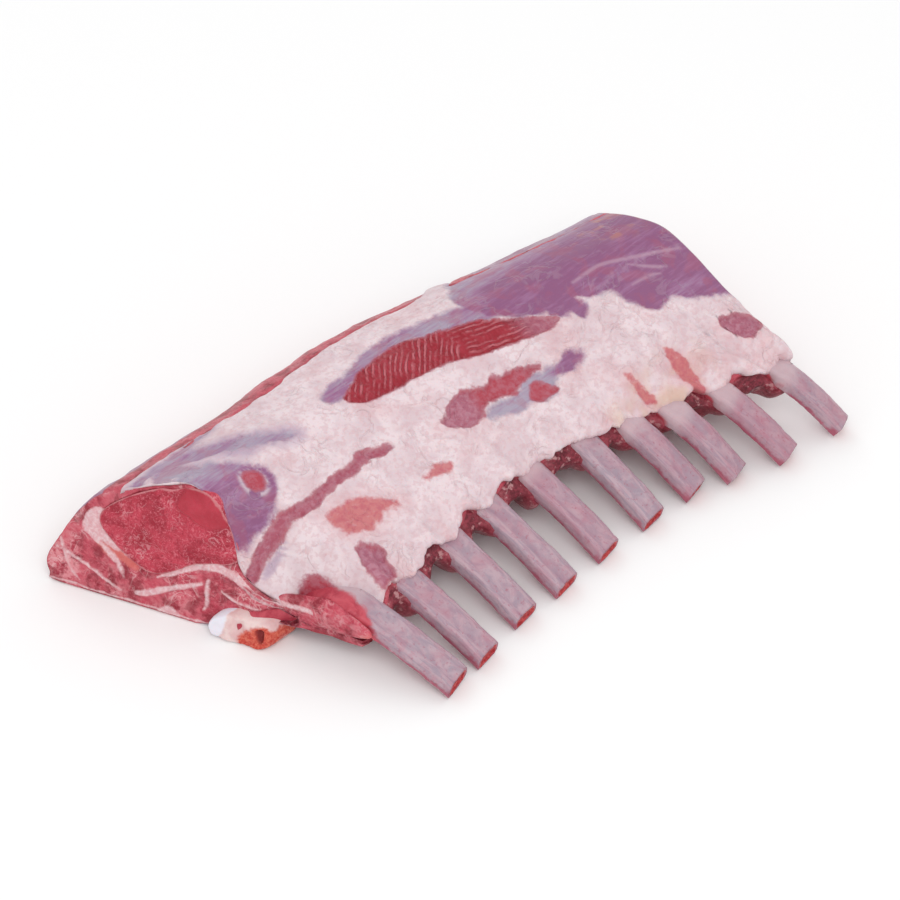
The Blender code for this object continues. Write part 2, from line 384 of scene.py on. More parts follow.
@dataclass(frozen=True)
class LoinForm:
    """The loin's shape: two cut planes and the section between them.

    A section is a closed smooth curve through 17 corner points. Places along
    it are counted in corner points: 0 to 3 up the back, 7 the crown, 9 the
    slope, 11 the top of the frenched rim, 13 its underside, 16 to 17 the foot.
    """

    back_low: tuple[float, ...] = (78.6, 75.5, 74.0, 65.0, 57.0)
    back_high: tuple[float, ...] = (67.0, 68.5, 71.0, 61.0, 53.0)
    shoulder: tuple[float, ...] = (53.5, 56.0, 59.0, 49.0, 40.0)
    crown_y: tuple[float, ...] = (30.0, 30.0, 28.0, 22.0, 12.0)
    crown_z: tuple[float, ...] = (58.0, 57.5, 57.5, 58.5, 59.0)
    slope_y: tuple[float, ...] = (-8.0, -10.0, -8.0, -12.0, -20.0)
    slope_z: tuple[float, ...] = (45.0, 46.0, 46.0, 47.0, 47.0)
    rim_y: tuple[float, ...] = (-44.0, -36.0, -33.0, -44.0, -61.0)
    rim_top: tuple[float, ...] = (32.0, 33.8, 33.8, 33.4, 32.0)
    rim_low: tuple[float, ...] = (19.0, 21.5, 21.8, 21.8, 21.5)
    foot_in: tuple[float, ...] = (17.0, 18.0, 18.0, 14.0, 9.0)
    thinning: tuple[tuple[int, float, float], ...] = (
        (8, 2.5, -7.5), (9, 12.5, -17.5), (10, 17.0, -16.6), (11, 0.0, -15.0),
        (12, 0.0, -11.5), (13, 0.0, -7.5), (14, 0.0, -7.5), (15, 0.0, -3.0))
    thinning_share: float = 0.044

    @staticmethod
    def left_x(y: Array, z: Array) -> Array:
        """X of the left cut, which slants across the rack and leans back."""
        return -150.0 + (76.0 - y) * 0.476 + (z - 12.0) * 0.38

    @staticmethod
    def right_x(y: Array) -> Array:
        """X of the right cut, nearly square to the length."""
        return 131.0 - y * 0.07

    def corners(self, share: Array) -> Array:
        """Corner points of the section at each share, as (share, corner, y or z)."""
        low, high = glide(self.back_low, share), glide(self.back_high, share)
        shoulder = glide(self.shoulder, share)
        cy, cz = glide(self.crown_y, share), glide(self.crown_z, share)
        sy, sz = glide(self.slope_y, share), glide(self.slope_z, share)
        ry, rt = glide(self.rim_y, share), glide(self.rim_top, share)
        rl, foot = glide(self.rim_low, share), glide(self.foot_in, share)
        span = foot - ry
        flat = np.zeros_like(low)
        pairs = (
            (low - 9.0, flat), (low - 2.5, flat + 4.0), (low, flat + 12.0),
            ((low + high) * 0.5 + 0.8, flat + 26.0), (high, flat + 40.0),
            (shoulder, flat + 50.0),
            ((shoulder + cy) * 0.5, (50.0 + cz) * 0.5 + 1.5), (cy, cz),
            ((cy + sy) * 0.5, (cz + sz) * 0.5 + 1.5), (sy, sz),
            (ry * 0.65 + sy * 0.35, rt * 0.7 + sz * 0.3 + 1.0), (ry, rt),
            (ry - 2.2, (rt + rl) * 0.5), (ry + 1.5, rl),
            (foot - span * 0.62, flat + 18.0), (foot - span * 0.32, flat + 12.0),
            (foot, flat),
        )
        table = np.stack([np.stack(pair, -1) for pair in pairs], 1)
        near = 1.0 - smooth(0.0, self.thinning_share, share)
        for corner, move_y, move_z in self.thinning:
            table[:, corner] += near[:, None] * np.array([move_y, move_z])
        return table

    def section(self, share: Array, place: Array) -> tuple[Array, Array]:
        """Y and z of the section.

        Args:
            share: one number per row, 0 at the left cut and 1 at the right.
            place: places along the section, per row and column.

        Returns:
            Y and z for each row and column.
        """
        corners = self.corners(share)
        place = np.broadcast_to(place, (len(share), place.shape[-1]))
        index = np.floor(place).astype(int)
        part = place - index
        row = np.arange(len(share))[:, None]
        spans = [corners[row, (index + k) % CORNERS] for k in (-1, 0, 1, 2)]
        y = catmull(*[s[..., 0] for s in spans], part)
        z = catmull(*[s[..., 1] for s in spans], part)
        return y, np.maximum(z, 0.0)

    def outward(self, share: Array, place: Array) -> tuple[Array, Array]:
        """Unit vector, y and z, that points out of the meat: the section's slope turned."""
        y1, z1 = self.section(share, place + 0.06)
        y0, z0 = self.section(share, place - 0.06)
        dy, dz = y1 - y0, z1 - z0
        length = np.hypot(dy, dz) + 1e-9
        return dz / length, -dy / length

    def in_frame(self, share: Array, y: Array, z: Array) -> Array:
        """Points in the rack's frame for rows at a share, between the two cuts."""
        share = share[:, None]
        x = self.left_x(y, z) * (1.0 - share) + self.right_x(y) * share
        return np.stack([x - CENTRE_X, y - CENTRE_Y, z], -1)


@dataclass(frozen=True)
class RibPlan:
    """Where one rib runs in plan, and its width.

    Attributes:
        head: x and y of the sawn head.
        root: x and y where the bone comes out of the meat.
        tip: x and y of the cut tip.
        width: width of the bar.
        tone: how dark and bloody the bone is, 0 to 1.
    """

    head: Pair
    root: Pair
    tip: Pair
    width: float
    tone: float

    def lean(self) -> float:
        """Change of x for each millimetre of y along the bare bone."""
        return (self.tip[0] - self.root[0]) / (self.tip[1] - self.root[1])

    def middle_x(self, y: Array) -> Array:
        """X of the rib's middle line at a y, in the rack's frame."""
        return self.root[0] - CENTRE_X + (y + CENTRE_Y - self.root[1]) * self.lean()


RIB_PLANS: tuple[RibPlan, ...] = (
    RibPlan((-116.5, 3.5), (-88.5, -35.0), (-74.0, -80.0), 14.5, 0.15),
    RibPlan((-75.0, 7.5), (-65.5, -33.0), (-56.0, -78.0), 14.0, 0.35),
    RibPlan((-47.0, 7.0), (-38.0, -29.0), (-30.7, -73.0), 13.8, 0.2),
    RibPlan((-23.0, 6.5), (-14.5, -30.0), (-7.3, -72.3), 13.5, 0.25),
    RibPlan((1.0, 6.0), (11.0, -31.0), (18.4, -70.3), 13.2, 0.6),
    RibPlan((25.5, 4.0), (39.0, -30.0), (44.5, -70.0), 13.0, 0.1),
    RibPlan((47.0, 1.0), (60.5, -40.0), (68.5, -70.5), 12.5, 0.45),
    RibPlan((67.5, -3.0), (79.0, -49.0), (88.0, -75.0), 12.0, 0.45),
    RibPlan((88.0, -7.0), (101.0, -55.0), (111.5, -82.0), 11.5, 0.8),
    RibPlan((109.0, -10.0), (128.5, -62.0), (140.0, -85.0), 11.0, 0.4),
)


def rib_nearness(x: Array, y: Array) -> Array:
    """1 over the middle of a rib, falling to 0 between ribs as a bell curve."""
    bells = [np.exp(-((x - rib.middle_x(y)) / (rib.width * 0.62)) ** 4) for rib in RIB_PLANS]
    return np.max(bells, axis=0)


# ------------------------------------------------------------------ shading

class Wiring:
    """Small helper that adds shader nodes to one tree and joins them."""

    def __init__(self, tree: bpy.types.NodeTree) -> None:
        """Keep the tree and the object coordinates' node once it is needed."""
        self.tree = tree
        self.place: Optional[Socket] = None

    def add(self, kind: str, inputs: Optional[dict] = None, **settings) -> bpy.types.Node:
        """Add a node.

        Args:
            kind: the node's type.
            inputs: socket name or number to a value or another node's socket.
            settings: the node's own properties.

        Returns:
            The new node.
        """
        node = self.tree.nodes.new(kind)
        for key, value in settings.items():
            setattr(node, key, value)
        for key, value in (inputs or {}).items():
            if isinstance(value, bpy.types.NodeSocket):
                self.tree.links.new(value, node.inputs[key])
            else:
                node.inputs[key].default_value = value
        return node

    def coordinates(self) -> Socket:
        """Object coordinates in metres."""
        if self.place is None:
            self.place = self.add("ShaderNodeTexCoord").outputs["Object"]
        return self.place

    def stretched(self, turn: float, squeeze: tuple[float, float, float]) -> Socket:
        """Object coordinates turned about Z, then scaled, for grain that runs one way."""
        node = self.add("ShaderNodeMapping", {"Vector": self.coordinates()})
        node.inputs["Rotation"].default_value = (0.0, 0.0, math.radians(turn))
        node.inputs["Scale"].default_value = squeeze
        return node.outputs["Vector"]

    def field(self, name: str) -> Socket:
        """A piece's own number, stored at each point."""
        return self.add("ShaderNodeAttribute", attribute_name=name).outputs["Fac"]

    def noise(self, size: float, detail: float = 3.0, rough: float = 0.55,
              vector: Optional[Socket] = None, distort: float = 0.0) -> Socket:
        """Noise from 0 to 1 whose bumps are about size millimetres across."""
        node = self.add("ShaderNodeTexNoise", {
            "Vector": vector or self.coordinates(), "Scale": 1.0 / (size * MM),
            "Detail": detail, "Roughness": rough, "Distortion": distort})
        return node.outputs["Fac"]

    def math(self, operation: str, a: Socket | float, b: Socket | float = 0.0,
             clamp: bool = False) -> Socket:
        """One sum of two values."""
        node = self.add("ShaderNodeMath", {0: a, 1: b}, operation=operation, use_clamp=clamp)
        return node.outputs[0]

    def times(self, a: Socket | float, b: Socket | float) -> Socket:
        """Product of two values."""
        return self.math("MULTIPLY", a, b)

    def plus(self, a: Socket | float, b: Socket | float, clamp: bool = False) -> Socket:
        """Sum of two values."""
        return self.math("ADD", a, b, clamp)

    def minus(self, a: Socket | float, b: Socket | float) -> Socket:
        """First value less the second."""
        return self.math("SUBTRACT", a, b)

    def shaken(self, name: str, noise: Socket, amount: float, clamp: bool = False) -> Socket:
        """A piece's own number, moved up and down by a noise."""
        return self.plus(self.field(name), self.times(self.minus(noise, 0.5), amount), clamp)

    def between(self, value: Socket, low: float, high: float,
                to_low: float = 0.0, to_high: float = 1.0) -> Socket:
        """Soft step of a value between low and high."""
        node = self.add("ShaderNodeMapRange", {
            "Value": value, "From Min": low, "From Max": high,
            "To Min": to_low, "To Max": to_high}, interpolation_type="SMOOTHSTEP")
        return node.outputs["Result"]

    def blend(self, amount: Socket, under: Socket | Colour, over: Socket | Colour) -> Socket:
        """Mix two colours."""
        under, over = (c if isinstance(c, Socket) else (*c, 1.0) for c in (under, over))
        return self.add("ShaderNodeMix", {0: amount, 6: under, 7: over},
                        data_type="RGBA").outputs[2]

    def layers(self, colour: Socket,
               *coats: tuple[Socket, float, Socket | Colour]) -> Socket:
        """Lay colours over one another.

        Args:
            colour: the lowest colour.
            coats: mask, strength and colour of each coat, the lowest first.

        Returns:
            What shows from above.
        """
        for mask, strength, over in coats:
            colour = self.blend(self.times(mask, strength), colour, over)
        return colour

    def ramp(self, value: Socket, stops: Sequence[tuple[float, tuple]]) -> Socket:
        """Colour ramp through (place, colour) stops."""
        node = self.add("ShaderNodeValToRGB", {"Fac": value})
        band = node.color_ramp
        while len(band.elements) < len(stops):
            band.elements.new(0.5)
        for element, (place, colour) in zip(band.elements, stops):
            element.position = place
            element.color = (*colour, 1.0)
        return node.outputs["Color"]

    def group(self, tree: bpy.types.NodeTree, **inputs: Socket | float) \
            -> bpy.types.bpy_prop_collection:
        """Place a shared effect and give its outputs."""
        return self.add("ShaderNodeGroup", inputs, node_tree=tree).outputs


class Group:
    """A shared shader effect while it is being built."""

    def __init__(self, name: str, takes: dict[str, Optional[float]],
                 gives: Sequence[str]) -> None:
        """Start the effect.

        Args:
            name: the group's name.
            takes: input names and default values, None for a vector.
            gives: output names.
        """
        self.tree = bpy.data.node_groups.new(name, "ShaderNodeTree")
        for title, value in takes.items():
            kind = "NodeSocketVector" if value is None else "NodeSocketFloat"
            entry = self.tree.interface.new_socket(title, in_out="INPUT", socket_type=kind)
            if value is not None:
                entry.default_value = value
        for title in gives:
            self.tree.interface.new_socket(
                title, in_out="OUTPUT", socket_type="NodeSocketFloat")
        self.wiring = Wiring(self.tree)
        self.takes = self.tree.nodes.new("NodeGroupInput").outputs
        self.out = self.tree.nodes.new("NodeGroupOutput")

    def scaled_place(self) -> Socket:
        """Object coordinates times the group's Size."""
        w = self.wiring
        return w.add("ShaderNodeVectorMath", {0: w.coordinates(), "Scale": self.takes["Size"]},
                     operation="SCALE").outputs[0]

    def give(self, **values: Socket) -> bpy.types.NodeTree:
        """Join values to the outputs and hand over the finished group."""
        for title, value in values.items():
            self.tree.links.new(value, self.out.inputs[title])
        return self.tree


class Effects:
    """The shared effects: ragged masks, grain, mottling and veins."""

    def __init__(self) -> None:
        """Build each group once."""
        self._ragged = self._build_ragged()
        self._grain = self._build_grain()
        self._mottle = self._build_mottle()
        self._veins = self._build_veins()

    def ragged(self, w: Wiring, name: str, tear: float, softness: float) \
            -> bpy.types.bpy_prop_collection:
        """Mask and edge of a piece's own depth, torn by noise."""
        return w.group(self._ragged, Depth=w.field(name), Tear=tear, Softness=softness)

    def grain(self, w: Wiring, turn: float, squeeze: tuple[float, float, float]) \
            -> bpy.types.bpy_prop_collection:
        """Tone and height of fibres that run one way."""
        return w.group(self._grain, Along=w.stretched(turn, squeeze))

    def mottle(self, w: Wiring, size: float) -> bpy.types.bpy_prop_collection:
        """Cloud, speck and height; a larger size makes them finer."""
        return w.group(self._mottle, Size=size)

    def veins(self, w: Wiring, size: float, width: float) -> Socket:
        """Thin branching lines; a larger size brings them closer together."""
        return w.group(self._veins, Size=size, Width=width)["Line"]

    @staticmethod
    def _build_veins() -> bpy.types.NodeTree:
        """Lines where a bent noise passes its middle, in broken patches."""
        group = Group("veins", {"Size": 1.0, "Width": 0.02}, ["Line"])
        w = group.wiring
        bent = w.noise(9.0, 3.0, 0.5, group.scaled_place(), 1.2)
        away = w.math("DIVIDE", w.math("ABSOLUTE", w.minus(bent, 0.5)), group.takes["Width"])
        patchy = w.between(w.noise(14.0, 2.0), 0.44, 0.60)
        return group.give(Line=w.times(w.between(away, 1.0, 0.2), patchy))

    @staticmethod
    def _build_ragged() -> bpy.types.NodeTree:
        """Mask from a depth in millimetres, its edge torn by noise of two sizes."""
        group = Group("ragged_mask", {"Depth": 0.0, "Tear": 1.0, "Softness": 0.5},
                      ["Mask", "Edge"])
        w, takes = group.wiring, group.takes
        coarse = w.times(w.minus(w.noise(5.0, 5.0, 0.62), 0.5), 6.0)
        fine = w.times(w.minus(w.noise(1.3, 3.0, 0.6), 0.5), 2.0)
        depth = w.plus(takes["Depth"], w.times(w.plus(coarse, fine), takes["Tear"]))
        share = w.math("DIVIDE", depth, takes["Softness"])
        return group.give(Mask=w.between(share, -0.5, 0.5),
                          Edge=w.between(w.math("ABSOLUTE", depth), 1.1, 0.0))

    @staticmethod
    def _build_grain() -> bpy.types.NodeTree:
        """Muscle fibres: fine noise drawn out along one way, and its height."""
        group = Group("muscle_grain", {"Along": None}, ["Tone", "Height"])
        w, along = group.wiring, group.takes["Along"]
        fibre, bundle = w.noise(1.3, 4.0, 0.6, along, 0.4), w.noise(5.0, 3.0, 0.5, along, 0.6)
        tone = w.plus(w.times(fibre, 0.55), w.times(bundle, 0.45))
        return group.give(Tone=w.between(tone, 0.32, 0.68), Height=tone)

    @staticmethod
    def _build_mottle() -> bpy.types.NodeTree:
        """Clouds of two sizes, and small lumps as height."""
        group = Group("mottle", {"Size": 1.0}, ["Cloud", "Speck", "Height"])
        w, place = group.wiring, group.scaled_place()
        cloud, speck = w.noise(11.0, 4.0, 0.55, place, 0.5), w.noise(2.2, 4.0, 0.6, place, 0.3)
        return group.give(Cloud=w.between(cloud, 0.35, 0.65), Speck=w.between(speck, 0.35, 0.68),
                          Height=w.plus(w.times(cloud, 0.6), w.times(speck, 0.4)))


class Moisture(Enum):
    """How wet a surface looks: roughness of the skin and of the film on it."""

    WAXY = (0.46, 0.04, 0.30)
    MOIST = (0.38, 0.08, 0.18)
    WET = (0.30, 0.25, 0.12)


@dataclass(frozen=True)
class Finish:
    """What all finishes share.

    Attributes:
        name: the material's name.
        moisture: how wet it looks.
        soft: how much light goes under the surface.
        bump: height of the finest relief, mm.
    """

    name: str
    moisture: Moisture = Moisture.MOIST
    soft: float = 0.1
    bump: float = 0.25

    def start(self) -> tuple[bpy.types.Material, Wiring, bpy.types.Node]:
        """Make the material with its shader and its fixed values."""
        material = bpy.data.materials.new(self.name)
        material.use_nodes = True
        wiring = Wiring(material.node_tree)
        shader = material.node_tree.nodes["Principled BSDF"]
        rough, film, film_rough = self.moisture.value
        fixed = {
            "Roughness": rough, "IOR": 1.38, "Specular IOR Level": 0.4,
            "Coat Weight": film, "Coat Roughness": film_rough, "Coat IOR": 1.36,
            "Subsurface Weight": self.soft, "Subsurface Radius": (1.0, 0.35, 0.25),
            "Subsurface Scale": 0.003}
        for name, value in fixed.items():
            shader.inputs[name].default_value = value
        return material, wiring, shader

    def close(self, w: Wiring, shader: bpy.types.Node, colour: Socket,
              height: Socket) -> None:
        """Join colour and relief to the shader."""
        w.tree.links.new(colour, shader.inputs["Base Color"])
        bump = w.add("ShaderNodeBump", {"Height": height, "Distance": self.bump * MM,
                                        "Strength": 1.0})
        w.tree.links.new(bump.outputs["Normal"], shader.inputs["Normal"])


@dataclass(frozen=True)
class CoverFinish(Finish):
    """Fat with silverskin and bare muscle showing through it."""

    fat: Colour = (0.69, 0.54, 0.575)
    fat_white: Colour = (0.79, 0.66, 0.69)
    fat_pink: Colour = (0.64, 0.42, 0.45)
    skin_pale: Colour = (0.40, 0.34, 0.43)
    skin_deep: Colour = (0.27, 0.10, 0.21)
    red: Colour = (0.27, 0.010, 0.020)
    red_light: Colour = (0.38, 0.030, 0.050)
    salmon: Colour = (0.56, 0.14, 0.14)

    def build(self, effects: Effects) -> bpy.types.Material:
        """Lay silverskin, fat, windows and stains over each other by their masks."""
        material, w, shader = self.start()
        mottle = effects.mottle(w, 1.0)
        cloud, speck = mottle["Cloud"], mottle["Speck"]
        crease = effects.veins(w, 0.75, 0.05)
        rose = w.between(w.shaken("rose", w.noise(3.0, 5.0, 0.62), 1.5), 0.25, 0.95)
        fat = w.layers(
            w.blend(cloud, self.fat, self.fat_white),
            (w.between(speck, 0.35, 0.9), 0.45, self.fat_pink),
            (crease, 0.22, (0.52, 0.31, 0.34)),
            (w.field("pink"), 0.55, (0.64, 0.32, 0.34)),
            (w.field("cream"), 0.75, (0.68, 0.47, 0.36)),
            (w.field("lilac"), 0.8, (0.44, 0.31, 0.42)),
            (rose, 0.85, w.blend(speck, self.salmon, (0.50, 0.08, 0.11))))

        streaks = effects.grain(w, -12.0, (0.16, 1.0, 1.0))["Tone"]
        violet = w.ramp(w.shaken("violet", streaks, 0.6, clamp=True), [
            (0.0, self.skin_pale), (0.35, (0.37, 0.25, 0.36)), (0.65, (0.33, 0.15, 0.28)),
            (1.0, self.skin_deep)])
        skin = w.layers(
            violet,
            (w.between(cloud, 0.55, 1.0), 0.3, (0.42, 0.10, 0.15)),
            (crease, 0.18, (0.50, 0.38, 0.46)),
            (w.field("tendon"), 0.5, (0.55, 0.36, 0.45)),
            (w.field("stain"), 0.7, (0.50, 0.20, 0.15)))

        grain = effects.grain(w, 24.0, (1.0, 0.28, 1.0))
        bared = w.field("window")
        ridges = w.times(self.ripple(w), bared)
        meat = w.layers(
            w.blend(grain["Tone"], self.red, self.red_light),
            (ridges, 0.8, (0.58, 0.17, 0.20)),
            (w.minus(1.0, bared), 0.75, w.blend(speck, (0.46, 0.07, 0.10), (0.50, 0.16, 0.21))),
            (w.field("veil"), 1.0, w.blend(speck, (0.36, 0.13, 0.20), (0.48, 0.24, 0.31))))

        silver = effects.ragged(w, "silver", 0.8, 3.2)["Mask"]
        flesh = effects.ragged(w, "flesh", 0.55, 1.7)
        halo = w.times(w.field("halo"), w.between(cloud, 0.2, 0.65))
        colour = w.layers(
            fat, (silver, 1.0, skin), (flesh["Edge"], 0.7, (0.40, 0.12, 0.17)),
            (halo, 0.85, (0.62, 0.50, 0.56)), (flesh["Mask"], 1.0, meat))
        lumps = w.times(mottle["Height"], w.minus(1.0, w.times(silver, 0.75)))
        fibres = w.times(w.plus(grain["Height"], w.times(ridges, 1.6)), flesh["Mask"])
        height = w.minus(w.plus(lumps, fibres), w.times(crease, 0.5))
        self.close(w, shader, colour, height)
        wet = w.math("MAXIMUM", silver, flesh["Mask"])
        w.tree.links.new(w.between(wet, 0.0, 1.0, 0.47, 0.30), shader.inputs["Roughness"])
        return material

    @staticmethod
    def ripple(w: Wiring) -> Socket:
        """Pale ridges across the bared muscle, 2.3 mm apart; they swing round at one end."""
        apart = 2.3
        xyz = w.add("ShaderNodeSeparateXYZ", {"Vector": w.coordinates()}).outputs
        bend = w.times(w.minus(w.noise(9.0, 3.0), 0.5), 11.0)
        waves = []
        for along, across in ((0.731, -0.682), (-0.25, -0.97)):
            way = w.plus(w.times(xyz[0], along / MM), w.times(xyz[1], across / MM))
            waves.append(w.math("SINE", w.plus(w.times(way, FULL_TURN / apart), bend)))
        turned = w.between(xyz[0], 20.0 * MM, 28.0 * MM)
        both = w.plus(w.times(waves[1], turned), w.times(waves[0], w.minus(1.0, turned)))
        broken = w.between(w.noise(4.5, 3.0), 0.34, 0.66)
        return w.times(w.between(both, -0.45, 0.75), broken)


@dataclass(frozen=True)
class MeatFinish(Finish):
    """Raw red meat with seams of fat and silverskin, and painted shade in the gaps between the
    ribs and in the hollow by the backbone stub.
    """

    red: Colour = (0.52, 0.055, 0.09)
    dark: Colour = (0.27, 0.018, 0.035)
    light: Colour = (0.66, 0.15, 0.19)
    seam: Colour = (0.72, 0.40, 0.43)
    skin: Colour = (0.38, 0.25, 0.34)

    def build(self, effects: Effects) -> bpy.types.Material:
        """Mottled red, with masks for what lies on it or between its muscles."""
        material, w, shader = self.start()
        mottle = effects.mottle(w, 1.5)
        cloud, speck = mottle["Cloud"], mottle["Speck"]
        grain = effects.grain(w, 0.0, (1.0, 0.45, 0.8))
        lines = w.math("MAXIMUM", w.times(effects.veins(w, 1.6, 0.022), 0.5),
                       w.times(effects.veins(w, 0.8, 0.03), 0.6))
        pale = w.times(w.field("pale"), w.between(grain["Tone"], 0.2, 0.8))
        # The dark field marks painted shade: the gaps between the ribs under the rim and the
        # hollow under the first rib.
        dark = w.field("dark")
        tags = w.times(dark, w.between(w.noise(3.2, 4.0, 0.6), 0.56, 0.66))
        streak = effects.grain(w, -4.0, (0.16, 1.0, 1.0))["Tone"]
        skin = w.blend(streak, (0.33, 0.16, 0.26), w.blend(cloud, self.skin, (0.46, 0.38, 0.45)))
        colour = w.layers(
            w.blend(cloud, self.dark, self.red),
            (grain["Tone"], 0.5, self.light),
            (w.between(speck, 0.5, 1.0), 0.45, self.light),
            (pale, 1.0, (0.70, 0.26, 0.29)),
            (w.times(lines, w.field("face")), 1.0, (0.76, 0.44, 0.46)),
            (w.between(cloud, 0.22, 0.0), 0.5, (0.24, 0.012, 0.025)),
            # Painted shade: near-black to dark red over the dark field; between the ribs it is
            # partly the meat's own dark red, deepened as shade.
            (dark, 1.0, w.blend(speck, (0.10, 0.010, 0.018), (0.26, 0.035, 0.055))),
            (tags, 0.75, (0.62, 0.33, 0.34)),
            (effects.ragged(w, "silver", 0.9, 3.0)["Mask"], 0.9, skin),
            (effects.ragged(w, "warm", 0.25, 1.6)["Mask"], 0.8, (0.66, 0.15, 0.13)),
            (effects.ragged(w, "seam", 0.32, 1.1)["Mask"], 0.9,
             w.blend(speck, self.seam, (0.80, 0.60, 0.62))))
        self.close(w, shader, colour, w.plus(mottle["Height"], w.times(grain["Height"], 0.8)))
        return material


@dataclass(frozen=True)
class EyeFinish(Finish):
    """The cut face of the eye muscle: fine grain across the fibres."""

    red: Colour = (0.56, 0.050, 0.085)
    dark: Colour = (0.36, 0.018, 0.038)
    light: Colour = (0.74, 0.20, 0.25)

    def build(self, effects: Effects) -> bpy.types.Material:
        """Speckled red with pale flecks of fat, smooth in one lobe."""
        material, w, shader = self.start()
        mottle = effects.mottle(w, 1.3)
        flecks = w.noise(1.6, 5.0, 0.75, None, 1.6)
        calm = effects.ragged(w, "calm", 0.9, 2.4)["Mask"]
        lively = w.minus(1.0, w.times(calm, 0.85))
        colour = w.layers(
            w.blend(mottle["Cloud"], self.dark, self.red),
            (w.times(w.between(flecks, 0.50, 0.66), lively), 0.7, self.light),
            (w.times(w.between(flecks, 0.46, 0.34), lively), 0.7, (0.24, 0.008, 0.022)),
            (w.times(effects.veins(w, 2.2, 0.03), lively), 0.55, (0.80, 0.38, 0.42)),
            (calm, 0.6, (0.50, 0.040, 0.065)),
            (w.between(w.noise(16.0, 2.0), 0.5, 0.7), 0.45, (0.34, 0.015, 0.03)),
            (effects.ragged(w, "seam", 0.25, 0.7)["Mask"], 0.5, (0.70, 0.34, 0.36)))
        self.close(w, shader, colour, w.plus(mottle["Height"], w.times(flecks, 0.8)))
        return material


@dataclass(frozen=True)
class BoneFinish(Finish):
    """Scraped rib bone under a thin pink film, with red marrow at the cut tip."""

    bone: Colour = (0.50, 0.37, 0.42)
    grey: Colour = (0.36, 0.29, 0.35)
    pink: Colour = (0.45, 0.17, 0.23)

    def build(self, effects: Effects) -> bpy.types.Material:
        """Streaks along the bone, dark red on its lower sides and tip that is partly blood and
        partly painted shade, painted shade in its groove, and a marrow core.
        """
        material, w, shader = self.start()
        along = w.add("ShaderNodeCombineXYZ", {
            "X": w.times(w.field("along"), MM * 0.22), "Y": w.times(w.field("around"), MM),
            "Z": w.times(w.field("serial"), 0.7)}).outputs[0]
        streak = w.noise(2.0, 5.0, 0.65, along, 0.6)
        broad = w.noise(5.0, 3.0, 0.55, along, 0.3)
        cloud = w.noise(7.0, 5.0, 0.65, None, 0.8)
        speck = w.noise(1.5, 4.0, 0.65)
        flush = w.between(w.plus(w.times(cloud, 0.5), w.times(broad, 0.5)), 0.44, 0.62)
        pinkness = w.plus(w.times(flush, 0.4), w.times(w.field("tone"), 0.5), clamp=True)
        raw = w.blend(w.between(cloud, 0.35, 0.65), (0.40, 0.035, 0.06), (0.56, 0.085, 0.115))
        marrow = w.blend(w.between(speck, 0.4, 0.65), (0.36, 0.012, 0.018), (0.60, 0.08, 0.08))
        colour = w.layers(
            w.blend(w.between(streak, 0.38, 0.60), self.grey, self.bone),
            (pinkness, 1.0, self.pink),
            (w.between(broad, 0.56, 0.68), 0.35, (0.58, 0.49, 0.52)),
            # Painted shade: darker purple along the groove on the top of the bone.
            (w.field("crease"), 0.55, (0.30, 0.15, 0.22)),
            # Dark red edge: partly blood on the bone, partly painted shade on its lower sides and
            # near the tip.
            (w.between(w.shaken("edge", cloud, 1.6), 0.35, 0.95), 0.85, (0.40, 0.07, 0.12)),
            (w.between(speck, 0.56, 0.68), 0.5, (0.38, 0.10, 0.15)),
            (w.field("cream"), 1.0, (0.60, 0.45, 0.48)),
            (w.between(w.shaken("flesh", cloud, 1.3), 0.25, 0.85), 1.0, raw),
            (w.between(w.shaken("marrow", speck, 0.7), 0.35, 0.6), 1.0, marrow))
        self.close(w, shader, colour, w.plus(w.times(streak, 0.7), w.times(speck, 0.3)))
        return material


@dataclass(frozen=True)
class StubFinish(Finish):
    """Sawn backbone: white gristle on one side, wet red marrow on the other."""

    def build(self, effects: Effects) -> bpy.types.Material:
        """White, pink and orange-red by the stub's own fields, with painted shade in the dented
        hollow.
        """
        material, w, shader = self.start()
        mottle = effects.mottle(w, 1.6)
        wet = w.blend(mottle["Speck"], (0.50, 0.03, 0.02), (0.70, 0.16, 0.10))
        colour = w.layers(
            w.blend(mottle["Cloud"], (0.72, 0.46, 0.46), (0.82, 0.64, 0.62)),
            (effects.ragged(w, "gristle", 0.4, 1.2)["Mask"], 1.0, (0.80, 0.78, 0.86)),
            (effects.ragged(w, "marrow", 0.7, 2.0)["Mask"], 1.0, wet),
            # Painted shade: near-black red in the dented hollow of the marrow.
            (effects.ragged(w, "shaded_hollow", 0.3, 1.2)["Mask"], 1.0, (0.22, 0.01, 0.01)))
        self.close(w, shader, colour, mottle["Height"])
        return material


# -------------------------------------------------------------------- pieces

LEFT_EYE = Patch((
    (38, 55.5), (32, 56), (26, 53), (20, 46), (15, 38), (12.5, 32), (15, 28.5), (22, 26.5),
    (29, 23.5), (35, 18.5), (42, 15.5), (48, 16.5), (56, 21), (63, 26.5), (67, 31), (67, 35.5),
    (63, 41), (56, 47), (48, 52), (43, 53)))


